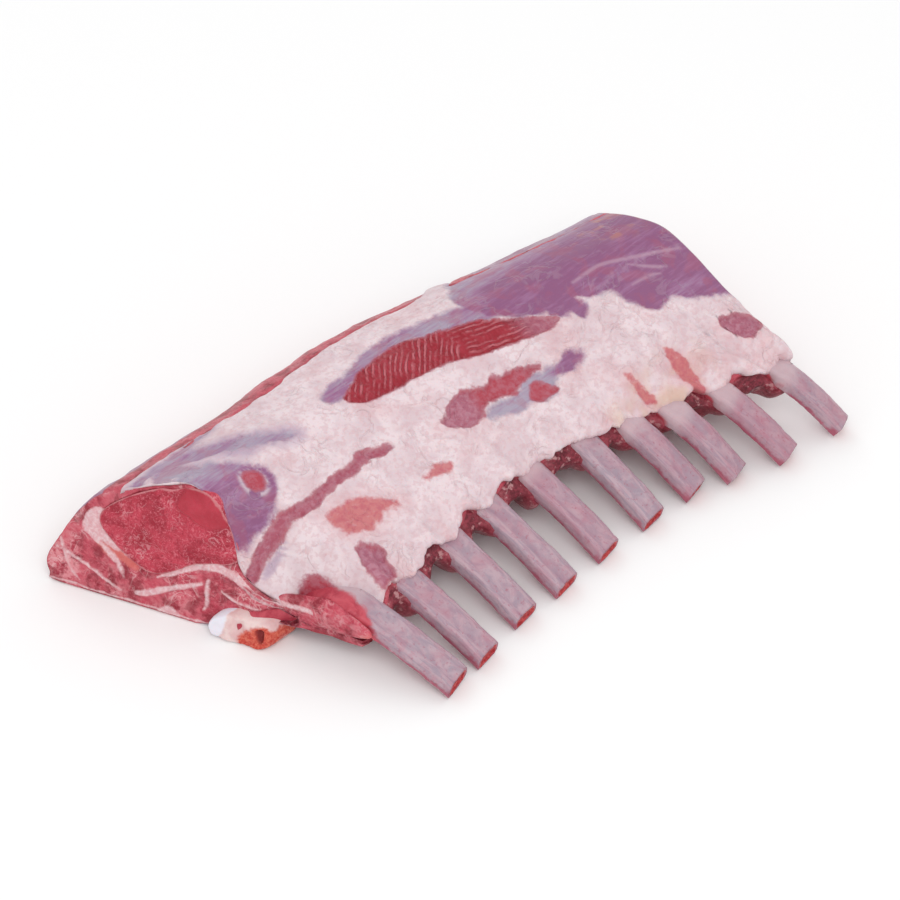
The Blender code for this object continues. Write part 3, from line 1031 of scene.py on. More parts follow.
@dataclass
class Rack:
    """The loin's form and the slopes that all its layers share."""

    form: LoinForm = field(default_factory=LoinForm)
    ramp_drop: float = 4.3
    fat_depth: float = 1.5
    front_depth: float = 3.0

    def surface(self, share: Array, place: Array) -> tuple[Array, Array, Array]:
        """Base surface and its outward direction.

        Args:
            share: one number per row.
            place: places along the section.

        Returns:
            Points in the rack's frame, and the y and z of the outward direction.
        """
        y, z = self.form.section(share, place)
        out_y, out_z = self.form.outward(share, place)
        return self.form.in_frame(share, y, z), out_y, out_z

    def ramp(self, x: Array, y: Array, place: Array) -> Array:
        """How far the top sinks towards each rib near the front, mm."""
        return self.ramp_drop * rib_nearness(x, y) * plateau(9.3, 10.95, 11.7, 12.6, place)

    def bed(self, place: Array) -> Array:
        """Depth of the meat's top under the base surface, where the fat lies on it, mm."""
        over, front = (plateau(start, full, 12.6, 13.4, place)
                       for start, full in ((4.75, 5.2), (8.9, 9.9)))
        return self.fat_depth * over + (self.front_depth - self.fat_depth) * front


@dataclass
class FatCover:
    """Layer of fat and silverskin over the top, with muscle bared in places."""

    rack: Rack
    rows: int = 420
    outer: int = 200
    inner: int = 25
    silver_left: Patch = Patch((
        (-113, 54), (-106, 53), (-99, 45), (-92, 38), (-85, 32), (-80, 26), (-80, 18), (-85, 12),
        (-91, 9), (-97, 11), (-104, 13), (-106, 19), (-106, 26), (-108, 34), (-111, 43),
        (-116, 50)))
    silver_right: Patch = Patch((
        (38, 44), (42, 30), (56, 18), (65, 13), (76, 5), (80, 6), (79.5, 13), (83, 9.5), (92, 8),
        (95, 3), (99, -5), (105, -10), (113, -9.5), (121, -14), (131, -18), (146, -20),
        (146, 40), (144, 75), (100, 80), (66, 80), (52, 62)))
    streak: Strand = Strand((
        (-108, 55, 2.5), (-97, 50, 4.2), (-87, 46, 4.6), (-77, 40, 4.2), (-68, 34, 3.0),
        (-58, 30, 1.2)))
    ridge: Strand = Strand((
        (-128, 57, 1.5), (-119, 57, 3.2), (-104, 57.5, 3.6), (-88, 60, 3.0), (-76, 62, 1.5)))
    border: Patch = Patch((
        (-40, 36), (-36, 41), (-25, 43), (-12, 47), (0, 48.5), (16, 47), (30, 42), (42, 36),
        (50, 24), (35, 28.5), (19, 34.5), (6, 39.5), (-1, 40.5), (-15, 38.5), (-25, 34.5),
        (-33, 31)))
    window: Patch = Patch((
        (-32, 32), (-25, 36), (-15, 40), (-1, 42), (6, 41), (19, 36), (35, 30), (45, 24),
        (54, 19), (62, 13), (66, 10), (60, 9), (51, 10), (39, 13), (24, 16.5), (14, 20.5),
        (3, 22), (-11, 23), (-22, 25), (-29, 27)))
    gash: Patch = Patch((
        (-6, 3), (3, 7.5), (10, 8), (17, 5.5), (25, 5.5), (32, 4.5), (39, 1.5), (46, -1),
        (36, -2.5), (29, -4), (23, -1.5), (16, -0.5), (11, -2), (7, -3.5), (-1, -4), (-6, -1)))
    lilac_film: Patch = Patch((
        (12, -3), (19, -2), (29, -4), (36, -2), (44, -3), (52, -2.5), (58, -2.5), (64, -5.5),
        (63, -8.5), (58, -9.5), (52, -8.5), (47, -8.5), (45, -12), (39, -12.5), (32, -10.5),
        (25, -10.5), (16, -7.5), (12, -5.5)))
    spot: Patch = Patch((
        (33, -8), (36, -5.5), (40, -5.5), (43, -8), (46, -11.5), (41, -12), (38, -12), (34, -11)))
    band: Strand = Strand((
        (-106, 6, 1.8), (-102, 7, 2.5), (-97, 7, 2.5), (-91, 5.5, 2.3), (-80, 4, 2.1),
        (-66, 5.5, 1.9), (-56, 6, 1.8), (-44, 6.5, 1.7), (-33, 4.5, 1.2)))
    lilac_edge: Strand = Strand(((-92, 2.5, 0.6), (-97, 2, 1.8), (-101, 2.5, 1.2)))
    glow: Patch = Patch((
        (-75, -5), (-72, -2.5), (-67, -3), (-59, -3.5), (-50, -9), (-43, -16), (-51, -15.5),
        (-58, -17.5), (-66, -17.5), (-72, -12.5)))
    blush: Patch = Patch((
        (-31, -12), (-26, -10.5), (-22, -9.5), (-15, -12), (-20, -15.5), (-26, -14.5)))
    bruise: Patch = Patch((
        (-74, -20), (-69, -20), (-64, -24), (-65, -29), (-65, -35), (-72, -37), (-76, -30)))
    wedge: Patch = Patch((
        (-95, -9), (-90, -11), (-86, -19), (-85, -32), (-83, -42), (-86, -48), (-92, -41),
        (-95, -30), (-97, -20), (-97.5, -14)))
    eyelet: Patch = Patch((
        (-89, 28), (-84.5, 27.5), (-83, 23), (-86, 18.5), (-89, 18.5), (-91, 22.5)))
    oval: Patch = Patch((
        (123, -26.5), (127, -26.5), (133, -30.5), (136, -35), (135, -39), (129, -38.5),
        (125, -35.5), (122, -30.5)))
    slots: tuple[Patch, ...] = (
        Patch(((94, -22), (98, -25), (100, -31), (100, -39), (98, -46), (94, -45), (92, -38),
               (92, -29))),
        Patch(((73, -21), (76.5, -25), (78.5, -31), (79, -36.5), (75, -36.5), (72, -33),
               (72, -26))),
    )
    tendons: tuple[Strand, ...] = (
        Strand(((83, 19, 0.6), (93, 19, 0.9), (100, 18, 0.9), (115, 12, 0.9), (132, 5, 0.6))),
        Strand(((108, 12, 0.3), (115, 6, 0.8), (121, 2, 0.4))),
        Strand(((103, 4, 0.3), (112, 3, 0.8), (117, 1, 0.3))),
    )

    def ends(self, share: Array) -> tuple[Array, Array]:
        """Places where the layer starts at the back and ends at the front, per row."""
        x = np.interp(share, [0.0, 1.0], [-122.0, 135.0])
        zero = np.zeros_like(x)
        start = 4.93 - 1.4 * smooth(28.0, 72.0, x) - 0.30 * smooth(-62.0, -96.0, x)
        start = start + 0.07 * layered(x, zero, zero, 17.0, 3)
        over = rib_nearness(x + 6.0, zero - 33.0)
        end = 11.0 + 0.5 * over + 0.16 * layered(x, zero, zero, 8.0, 5)
        end = end + 0.14 * layered(x, zero, zero, 2.6, 6, 2)
        return start, end

    def masks(self, x: Array, y: Array) -> dict[str, Array]:
        """Every mark's field over the layer, from x and y of the base surface.

        The places are first shifted by noise, so that outlines come out ragged.

        Args:
            x: X of each point, mm.
            y: Y of each point, mm.

        Returns:
            Depths in millimetres and shares from 0 to 1, by name.
        """
        zero = np.zeros_like(x)
        a = x + 1.5 * soft_noise(x, y, zero, 7.0, 11) + 0.6 * soft_noise(x, y, zero, 2.6, 12)
        b = y + 1.5 * soft_noise(x, y, zero, 7.0, 13) + 0.6 * soft_noise(x, y, zero, 2.6, 14)
        left, right = self.silver_left.depth(a, b), self.silver_right.depth(a, b)
        border, streak = self.border.depth(a, b), self.streak.depth(a, b)
        film = self.lilac_film.depth(a, b)
        window = self.window.depth(x + 0.4 * (a - x), y + 0.4 * (b - y))
        band, glow = self.band.depth(a, b), self.glow.depth(a, b)
        bruise, wedge = self.bruise.depth(a, b), self.wedge.depth(a, b)
        eyelet = self.eyelet.depth(0.5 * (a + x), 0.5 * (b + y))
        oval, slots = self.oval.depth(a, b), widest(self.slots, a, b)
        gash = self.gash.depth(a, b)
        reds = [window, gash, self.spot.depth(0.5 * (a + x), 0.5 * (b + y)), band, bruise,
                wedge, eyelet, oval]
        ridge = self.ridge.depth(a, b)
        blush = self.blush.depth(a, b)
        cloud = layered(x, y, zero, 16.0, 21)
        inside = [smooth(-2.0, 1.5, v) for v in (left, right, border, streak, film, ridge)]
        greying = 0.25 + 0.75 * smooth(62.0, 30.0, y - 0.10 * (x - 90.0))
        violet = np.max([
            inside[0] * (0.22 + 0.6 * smooth(44.0, 24.0, y)), inside[1] * greying,
            inside[2] * 0.5, inside[3] * 0.36,
            inside[4] * (0.12 + 0.6 * smooth(44.0, 52.0, x)), inside[5] * 0.2], axis=0)
        return {
            "silver": np.max([left, right, border, streak - 0.2, film, ridge - 0.6],
                             axis=0),
            "flesh": np.max(reds, axis=0),
            "window": smooth(-1.5, 0.5, window) * smooth(66.0, 50.0, x),
            "violet": np.clip(violet + 0.2 * cloud, 0.0, 1.0),
            "rose": np.max([smooth(-2.0, 3.0, glow), smooth(-1.5, 2.2, slots),
                            smooth(-2.0, 2.0, blush),
                            0.35 * smooth(6.0, 0.0, np.hypot(x + 81.0, y + 13.0))], axis=0),
            "halo": np.exp(-((eyelet + 1.1) / 0.9) ** 2),
            "veil": np.max([0.45 * smooth(-1, 1, band), 0.7 * smooth(-1, 1, oval),
                            0.75 * smooth(-1, 2, bruise),
                            0.65 * smooth(-1, 1, gash) * smooth(16.0, 8.0, x),
                            0.6 * smooth(-1, 1, window) * smooth(44.0, 56.0, x)], axis=0),
            "pink": np.clip(0.5 * smooth(-6.0, 0.0, glow)
                            + 0.4 * smooth(-4.0, 0.0, slots) + 0.5 * smooth(0.1, 1.1, cloud)
                            + 0.6 * smooth(-22.0, -34.0, y) * smooth(
                                -0.4, 0.6, layered(x, y, zero, 6.0, 34)),
                            0.0, 1.0),
            "cream": smooth(50.0, 62.0, x) * smooth(-22.0, -36.0, y + 0.12 * (60.0 - x))
            * smooth(-0.5, 0.7, layered(x, y, zero, 9.0, 33)) * smooth(112.0, 100.0, x),
            "lilac": np.clip(smooth(-5.0, 0.0, streak) * 0.7
                             + 0.9 * smooth(-0.6, 0.8, self.lilac_edge.depth(a, b))
                             + 0.5 * smooth(-4.0, 0.0, ridge)
                             + 0.5 * smooth(8.0, 2.0, np.hypot((x + 86.0) * 0.5, y - 36.0)),
                             0.0, 1.0),
            "tendon": smooth(-0.5, 0.6, widest(self.tendons, x, y)),
            "stain": smooth(0.0, 0.9, layered(x, y, zero, 6.0, 41))
            * smooth(20.0, 5.0, np.hypot((x - 122.0) * 0.7, y - 36.0)),
        }

    def relief(self, x: Array, y: Array, z: Array, marks: dict[str, Array]) -> Array:
        """Height over the base surface, mm: lumps of fat, hollows where it's cut away."""
        lumps = 0.55 * soft_noise(x, y, z, 13.0, 61) + 0.40 * layered(x, y, z, 6.0, 62, 2)
        lumps += 0.12 * soft_noise(x, y, z, 2.2, 63)
        rough = 1.0 + 1.3 * smooth(-10.0, -28.0, y)
        skin = smooth(-1.0, 1.6, marks["silver"])
        bare = smooth(-0.5, 1.0, marks["flesh"])
        height = 0.55 + lumps * rough * (1.0 - 0.8 * skin)
        height -= 0.75 * skin * (1.0 - bare)
        height -= 1.15 * bare
        height += bare * 0.3 * soft_noise(x, y, z, 2.4, 64) * marks["window"]
        lip = np.exp(-((marks["flesh"] + 0.8) / 1.0) ** 2)
        return height + 0.35 * lip * (1.0 - skin)

    def build(self, material: bpy.types.Material) -> bpy.types.Object:
        """Make the layer: its outside, its inside and both cut edges.

        Args:
            material: finish of the layer.

        Returns:
            The piece.
        """
        share = np.linspace(0.0, 1.0, self.rows)
        start, end = self.ends(share)
        part = np.linspace(0.0, 1.0, self.outer)
        place = start[:, None] + (end - start)[:, None] * part
        base, out_y, out_z = self.rack.surface(share, place)
        x, y, z = base[..., 0], base[..., 1], base[..., 2]
        marks = self.masks(x, y)
        height = self.relief(x, y, z, marks)
        steps = np.hypot(np.diff(y, axis=1), np.diff(z, axis=1))
        run = np.concatenate([np.zeros((self.rows, 1)), np.cumsum(steps, axis=1)], axis=1)
        back, front = run, run[:, -1:] - run
        deep = self.rack.front_depth + 0.4
        height = np.where(back < 2.0, height * smooth(-0.4, 2.0, back), height)
        height -= (self.rack.fat_depth + 0.3) * (1.0 - smooth(0.0, 1.8, back))
        height -= (deep + 0.5) * (1.0 - np.sqrt(1.0 - np.clip(1.0 - front / 3.4, 0, 1) ** 2))
        edge = np.minimum(np.arange(self.rows), np.arange(self.rows)[::-1])[:, None] * 0.66
        height -= 0.7 * (1.0 - smooth(-0.3, 1.4, edge))
        ramp = self.rack.ramp(x, y, place)
        outside = base.copy()
        outside[..., 1] += out_y * height
        outside[..., 2] += out_z * height - ramp
        outside[..., 0] -= 0.55 * (1.0 - smooth(0.0, 1.2, np.arange(self.rows) * 0.7))[:, None]

        part_in = np.linspace(1.0, 0.0, self.inner + 2)[1:-1]
        place_in = start[:, None] + (end - start)[:, None] * part_in
        inside, in_y, in_z = self.rack.surface(share, place_in)
        depth = self.rack.fat_depth + 0.4 + (deep - self.rack.fat_depth) * smooth(
            8.8, 9.8, place_in)
        ramp_in = self.rack.ramp(inside[..., 0], inside[..., 1], place_in)
        inside[..., 1] -= in_y * depth
        inside[..., 2] -= in_z * depth + ramp_in

        rings = np.concatenate([outside, inside], axis=1)
        around = self.outer + self.inner
        points = rings.reshape(-1, 3)
        faces = [tube_faces(self.rows, around), self.cut_edge(0, around, True),
                 self.cut_edge((self.rows - 1) * around, around, False)]
        fill = {"silver": NOWHERE, "flesh": NOWHERE}
        fields = {
            name: np.concatenate(
                [values, np.full((self.rows, self.inner), fill.get(name, 0.0))], axis=1).ravel()
            for name, values in marks.items()}
        piece = add_piece("fat_and_silverskin", points, faces, material, fields)
        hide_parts("fat_cover")
        return piece

    def cut_edge(self, first: int, around: int, flip: bool) -> list[tuple[int, ...]]:
        """Faces that close the strip at a cut, each from a few outer points to the inside."""
        stride = max(1, (self.outer - 1) // (self.inner + 1))
        faces: list[tuple[int, ...]] = []
        low = 0
        for step in range(self.inner + 1):
            high = self.outer - 1 if step == self.inner else low + stride
            top = list(range(low, high + 1))
            under_low = around - step if step else 0
            under_high = around - step - 1
            ring = top[:] + ([under_high] if under_high >= self.outer else [])
            if step:
                ring.append(under_low)
            ring = ring[::-1] if flip else ring
            faces.append(tuple(first + number for number in ring))
            low = high
        return faces


@dataclass
class FilledTube:
    """Rows of a loft whose ends are filled by rings that shrink to a point.

    Attributes:
        left: rings on the left face.
        body: rings between the faces.
        right: rings on the right face.
    """

    left: int
    body: int
    right: int

    def rows(self) -> tuple[Array, Array]:
        """Share along the length and scale of each ring."""
        share = np.concatenate([np.zeros(self.left), np.linspace(0.0, 1.0, self.body),
                                np.ones(self.right)])
        grow = (np.arange(self.left) + 0.5) / self.left
        fall = (np.arange(self.right)[::-1] + 0.5) / self.right
        scale = np.concatenate([grow, np.ones(self.body), fall])
        return share, scale

    def on_faces(self) -> tuple[Array, Array]:
        """Which rings lie on the left face and which on the right, as columns."""
        number = np.arange(self.left + self.body + self.right)[:, None]
        return number < self.left, number >= self.left + self.body


@dataclass
class LoinMeat:
    """The meat round the eye, from the back to the frenched rim and the underside."""

    rack: Rack
    tube: FilledTube = field(default_factory=lambda: FilledTube(96, 170, 44))
    around: int = 260
    seams: tuple[Strand, ...] = (
        Strand(((40, 15, 0.3), (35, 18.5, 0.9), (29, 23, 1.5), (22, 25.5, 1.9), (14, 25, 1.5),
                (5, 23, 2.0), (-5, 20.5, 1.8), (-12, 18.5, 1.0))),
        Strand(((26, 26, 0.7), (24.5, 30, 1.0), (23, 33, 0.4))),
        Strand(((46, 6, 0.6), (41, 8, 1.5), (35, 11.5, 1.2), (30, 14, 1.1), (23, 18, 0.5))),
        Strand(((21, 20, 0.4), (20, 14, 0.9), (20, 7, 0.5))),
        Strand(((72, 27, 0.4), (66, 23.5, 0.7), (58, 17.5, 1.0), (52, 11, 0.5))),
        Strand(((80, 16, 0.3), (71, 12.5, 0.6), (62, 8.5, 0.4), (52, 5, 0.2))),
        Strand(((82, 24, 0.2), (78, 17, 0.5), (73, 8, 0.4), (68, 3, 0.2))),
        Strand(((69, 29, 0.3), (60, 23.5, 0.4), (52, 19, 0.3))),
        Strand(((15, 17, 0.3), (8, 14, 0.6), (0, 14, 0.4))),
        Strand(((12, 24, 0.3), (4, 19, 0.5), (-8, 16.5, 0.3))),
    )
    wedge: Patch = Patch(((72, 27), (72, 33), (69.5, 37), (66, 36.5), (65, 30), (62, 26.5),
                          (56, 22), (58.5, 21), (67, 24.5)))
    lump: Patch = Patch(((13.5, 34), (11, 36), (8, 31.5), (8.5, 28), (12, 28)))
    salmon: Patch = Patch(((66, 23), (58, 22.5), (50, 18), (48, 15), (56, 16.5), (62, 19)))
    foot_fat: Patch = Patch(((37, -1), (34, 4), (31, 3.5), (27, -1)))
    # Hollow under the first rib beside the backbone stub: pushed in, and filled with painted
    # shadow through the dark field.
    shaded_hollow: Patch = Patch(((-14, 16), (-8, 17), (-2, 14), (2, 8), (0, 0), (-8, 0), (-16, 4)))
    left_middle: Pair = (34.0, 26.0)
    right_middle: Pair = (18.0, 27.0)

    def right_marks(self, y: Array, z: Array) -> tuple[Array, Array]:
        """Eye depth and seams of the right cut."""
        eye = 1.0 - np.hypot((y - 24.5) / 22.0, (z - 33.6) / 19.0)
        rings = 0.5 - np.abs(eye * 20.0 + 1.2)
        lines = widest((
            Strand(((46, 40, 0.3), (52, 30, 0.8), (50, 18, 0.6), (42, 9, 0.4))),
            Strand(((40, 12, 0.3), (26, 8, 0.7), (8, 10, 0.5))),
            Strand(((2, 40, 0.9), (-8, 36, 1.0), (-22, 33, 0.6), (-40, 30, 0.3))),
            Strand(((2, 26, 0.8), (-14, 24, 0.6), (-30, 24, 0.3)))), y, z)
        return eye * 20.0, np.maximum(rings, lines)

    def places(self) -> Array:
        """Places that lie evenly round the section, found from a finely cut one."""
        fine = np.linspace(0.0, CORNERS, 100 * CORNERS + 1)
        y, z = self.rack.form.section(np.array([0.4]), fine[None, :])
        run = np.concatenate([[0.0], np.cumsum(np.hypot(np.diff(y[0]), np.diff(z[0])))])
        return np.interp(np.linspace(0.0, run[-1], self.around, endpoint=False), run, fine)

    def sink(self, base: Array, place: Array, share: Array) -> Array:
        """Depth of the meat under the base surface: its bed, webs, notches and flank.

        Args:
            base: points of the base surface.
            place: places along the section.
            share: share along the length, as a column.

        Returns:
            Millimetres, negative where the meat stands proud.
        """
        x, y, z = base[..., 0], base[..., 1], base[..., 2]
        between = 1.0 - rib_nearness(x, y)
        web = plateau(11.95, 12.75, 13.0, 13.9, place) * plateau(0.028, 0.05, 0.975, 0.995, share)
        reach = (5.0 + 8.5 * (1.0 - between) ** 2) * (1.0 - 0.35 * smooth(0.0, 70.0, x))
        reach = reach + 2.4 * soft_noise(x, y, z, 6.0, 71)
        notch = plateau(10.9, 11.2, 11.5, 12.0, place) * between
        notch = notch * (1.2 + 1.6 * soft_noise(x, y, z, 4.0, 70))
        flank = plateau(10.6, 11.3, 12.6, 13.4, place) * smooth(0.052, 0.03, share)
        return self.rack.bed(place) - web * reach + notch - 2.0 * flank

    def body(self, place: Array, share: Array) -> tuple[Array, Array]:
        """Base surface of every ring, and the same with its relief.

        Args:
            place: places along the section.
            share: share along the length, one number per ring.

        Returns:
            Points before and after the relief.
        """
        base, out_y, out_z = self.rack.surface(share, place)
        x, y, z = base[..., 0], base[..., 1], base[..., 2]
        lumps = 0.5 * layered(x, y, z, 14.0, 72, 2) + 0.25 * layered(x, y, z, 4.0, 73, 2)
        under_fat = plateau(4.9, 5.3, 11.0, 11.6, place)
        floor = np.clip(smooth(15.8, 16.4, place) + smooth(1.2, 0.5, place), 0, 1)
        lumps = lumps * (1.0 - under_fat) * (1.0 - 0.8 * floor)
        near_cut = np.minimum(share, 1.0 - share)[:, None] * 260.0
        rounding = 0.7 * (1.0 - smooth(-0.2, 1.6, near_cut))
        height = lumps - self.sink(base, place, share[:, None]) - rounding
        body = base.copy()
        body[..., 1] += out_y * height
        lifted = body[..., 2] + out_z * height - self.rack.ramp(x, y, place)
        body[..., 2] = np.maximum(lifted, 0.15)
        return base, body

    @staticmethod
    def film(base: Array, place: Array) -> Array:
        """Depth inside the silverskin on the back and the underside, mm."""
        x, y, z = base[..., 0], base[..., 1], base[..., 2]
        back = plateau(0.2, 1.2, 4.6, 5.0, place)
        left = plateau(3.0, 3.4, 4.15, 4.4, place) * smooth(-66.0, -84.0, x) * back
        right = smooth(40.0, 84.0, x) * back
        under = plateau(13.0, 13.8, 15.9, 16.3, place)
        film = np.max([10.0 * left - 6.0, 13.0 * right - 7.0, 8.0 * under - 6.0], axis=0)
        return film + 2.2 * layered(x * 0.5, y, z, 12.0, 76)

    def build(self, material: bpy.types.Material) -> bpy.types.Object:
        """Make the closed meat with its relief and marks.

        Args:
            material: finish of the meat.

        Returns:
            The piece.
        """
        share, scale = self.tube.rows()
        k = scale[:, None]
        left, right = self.tube.on_faces()
        on_body = ~(left | right)
        place = self.places()[None, :].repeat(len(share), 0)
        base, body = self.body(place, share)
        middle = np.where(left, self.left_middle, self.right_middle)
        y = middle[:, :1] + (body[..., 1] - middle[:, :1]) * k
        z = middle[:, 1:] + (body[..., 2] - middle[:, 1:]) * k
        zero = np.zeros_like(y)

        eye_left = LEFT_EYE.depth(y, z)
        eye_right, seam_right = self.right_marks(y, z)
        shaded_hollow = self.shaded_hollow.depth(y, z)
        seam_left = widest((*self.seams, self.wedge, self.lump, self.foot_fat), y, z)
        muscle = layered(y, z, zero, 9.0, 74) * 0.8 + layered(y, z, zero, 2.4, 75, 2) * 0.35
        cut_left = (muscle - 2.6 * smooth(-0.4, 1.2, eye_left)
                    + 0.35 * smooth(-0.8, 0.4, seam_left) - 3.0 * smooth(-1.0, 3.0, shaded_hollow))
        cut_right = (muscle - 2.6 * smooth(-0.4, 1.2, eye_right)
                     + 0.35 * smooth(-0.8, 0.4, seam_right))
        fade = smooth(1.0, 0.965, k)
        left_x = self.rack.form.left_x(y + CENTRE_Y, z) - CENTRE_X - cut_left * fade
        right_x = self.rack.form.right_x(y + CENTRE_Y) - CENTRE_X + cut_right * fade
        x = np.where(left, left_x, np.where(right, right_x, body[..., 0]))
        points = np.stack([x, y, z], -1)

        pale_foot = np.where((y > 14.0) & left, 0.45 - np.abs(z - 1.6) * 1.2, NOWHERE)
        seam = np.where(left, np.maximum(seam_left, pale_foot),
                        np.where(right, seam_right, NOWHERE))
        seam = np.where(on_body & (place < 2.0), 0.8 - np.abs(base[..., 2] - 1.5) * 0.9, seam)
        between = 1.0 - rib_nearness(base[..., 0], base[..., 1])
        # Painted shade between the ribs under the rim: the dark meat there is deepened towards
        # black, most of all midway between ribs.
        rib_gap_shade = plateau(11.1, 11.8, 13.2, 14.2, place) * (0.45 + 0.55 * between)
        # On the left cut the dark field is painted shadow in the hollow under the first rib.
        dark = np.where(on_body, np.clip(rib_gap_shade, 0, 1) * smooth(0.03, 0.055, share)[:, None],
                        np.where(left, smooth(-2.0, 2.0, shaded_hollow), 0.0))
        pale = 0.55 * smooth(26.0, 8.0, z) + 0.6 * smooth(60.0, 76.0, y)
        pale = pale * smooth(-0.6, 0.5, layered(y, z, zero, 8.0, 77))
        fields = {
            "seam": seam,
            "warm": np.where(left, self.salmon.depth(y, z), NOWHERE),
            "silver": np.where(on_body, self.film(base, place), NOWHERE),
            "dark": dark,
            "pale": np.where(on_body, 0.0, np.clip(pale, 0.0, 1.0)),
            "face": np.where(on_body, 0.25, np.ones_like(x)),
        }
        piece = add_tube("loin_meat_round_the_eye", points, material, fields)
        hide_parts("loin_meat")
        return piece


@dataclass
class Flank:
    """Raw meat left on the side of the first rib, from the cut down to the bare bone.

    Attributes:
        path: rows of x, y, lower edge and upper edge, mm.
        thick: half thickness, mm.
        around: points round each ring.
        rows: rings along the path.
    """

    path: tuple[tuple[float, float, float, float], ...] = (
        (-101.5, 0.0, 15.0, 21.0), (-99.0, -8.0, 12.5, 24.5), (-95.5, -18.0, 12.5, 27.5),
        (-92.0, -28.0, 13.6, 28.6), (-90.0, -37.5, 14.6, 27.8), (-88.6, -46.0, 17.0, 26.0))
    thick: float = 3.0
    around: int = 72
    rows: int = 90

    def build(self, material: bpy.types.Material) -> bpy.types.Object:
        """Loft flat ovals along the path, thin at both ends.

        Args:
            material: finish of the meat.

        Returns:
            The piece.
        """
        share = np.linspace(0.0, 1.0, self.rows)
        table = np.asarray(self.path)
        x, y, low, high = (glide(table[:, k], share) for k in range(4))
        along = np.stack([np.gradient(x), np.gradient(y)], -1)
        along /= np.linalg.norm(along, axis=1, keepdims=True)
        side = np.stack([along[:, 1], -along[:, 0]], -1)
        angle = round_angles(self.around)
        ends = np.sqrt(np.sin(math.pi * np.clip(share, 0.004, 0.996)))
        half = (high - low) * 0.5 * ends
        z = (high + low)[:, None] * 0.5 + np.sin(angle) * half[:, None]
        out = np.cos(angle) * self.thick * ends[:, None]
        lumps = 0.7 * layered(x[:, None], y[:, None], z, 7.0, 111, 3) * ends[:, None]
        out = out + lumps * np.sign(np.cos(angle)) * np.abs(np.cos(angle)) ** 0.5
        points = np.stack([x[:, None] + side[:, :1] * out, y[:, None] + side[:, 1:] * out, z],
                          -1)
        zero = np.zeros_like(z)
        white = 0.9 - np.abs(z - high[:, None] + 3.5 + 6.0 * share[:, None]) * 0.9
        fields = {
            "seam": np.where(share[:, None] < 0.45, white, NOWHERE),
            "warm": 0.8 - np.hypot(share[:, None] - 0.97, (z - 19.5) * 0.03) * 12.0,
            "silver": zero + NOWHERE, "dark": zero, "pale": zero + 0.25, "face": zero + 0.6,
        }
        piece = add_tube("flank_meat", points, material, fields)
        return piece


@dataclass
class EyeMuscle:
    """The eye of the loin: a long muscle that runs through and domes at both cuts."""

    rack: Rack
    tube: FilledTube = field(default_factory=lambda: FilledTube(84, 16, 50))
    around: int = 168
    lobe: Patch = Patch(((38, 56), (32, 58), (22, 50), (20, 44), (26, 41), (31, 42), (35, 44),
                         (40, 47)))

    def build(self, material: bpy.types.Material) -> bpy.types.Object:
        """Make the muscle, its section gliding from the left outline to the right one.

        Args:
            material: finish of the muscle.

        Returns:
            The piece.
        """
        share, scale = self.tube.rows()
        angle = round_angles(self.around)
        mix = smooth(0.0, 0.22, share)[:, None]
        wide = glide((22.0, 24.5, 24.5, 23.0, 22.0), share)[:, None]
        high = glide((18.8, 18.3, 18.3, 18.6, 19.0), share)[:, None]
        ellipse = 1.0 / np.hypot(np.cos(angle) / wide, np.sin(angle) / high)
        radius = LEFT_EYE.radius(EYE_CENTRE, angle) * (1.0 - mix) + ellipse * mix
        inner_y = glide((36.0, 32.0, 31.0, 26.0, 19.0), share)[:, None] - CENTRE_Y
        inner_z = glide((33.4, 33.0, 33.0, 33.5, 33.6), share)[:, None]
        cy = EYE_CENTRE[0] * (1.0 - mix) + inner_y * mix
        cz = EYE_CENTRE[1] * (1.0 - mix) + inner_z * mix
        k = scale[:, None]
        y = cy + np.cos(angle) * radius * k
        z = cz + np.sin(angle) * radius * k
        named_y = y + CENTRE_Y
        left_x = self.rack.form.left_x(named_y, z) - CENTRE_X
        right_x = self.rack.form.right_x(named_y) - CENTRE_X
        zero = np.zeros_like(y)
        calm = self.lobe.depth(y, z)
        grain = 0.30 * layered(y, z, zero, 3.2, 81, 3) + 0.35 * layered(y, z, zero, 12.0, 82, 1)
        dome = 0.9 * (1.0 - k ** 6) - 0.2
        step = 0.5 * smooth(-0.5, 0.5, calm)
        groove = -0.5 * np.exp(-(calm / 0.8) ** 2)
        left_face = left_x - (dome + grain * (1.0 - 0.6 * smooth(-1, 1, calm)) + step + groove)
        right_face = right_x + dome + grain
        s = share[:, None]
        between = (left_x + 0.6) * (1.0 - s) + (right_x - 0.6) * s
        is_left, is_right = self.tube.on_faces()
        x = np.where(is_left, left_face, np.where(is_right, right_face, between))
        points = np.stack([x, y, z], -1)
        rim = 0.55 - radius * (1.0 - k)
        fields = {
            "calm": np.where(is_left, calm, NOWHERE),
            "seam": np.where(is_left | is_right, rim, -1.0),
        }
        piece = add_tube("eye_of_loin", points, material, fields)
        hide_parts("eye_muscle")
        return piece


@dataclass
class Bar:
    """The swept part of a rib, between its two filled ends.

    Attributes:
        rings: points by row and place round it, mm.
        along: direction of each row.
        run: distance of each row from the head, mm.
        upness: from -1 underneath to 1 on top, for each place round it.
        crease: how deep the groove is, 0 to 1.
    """

    rings: Array
    along: Array
    run: Array
    upness: Array
    crease: Array


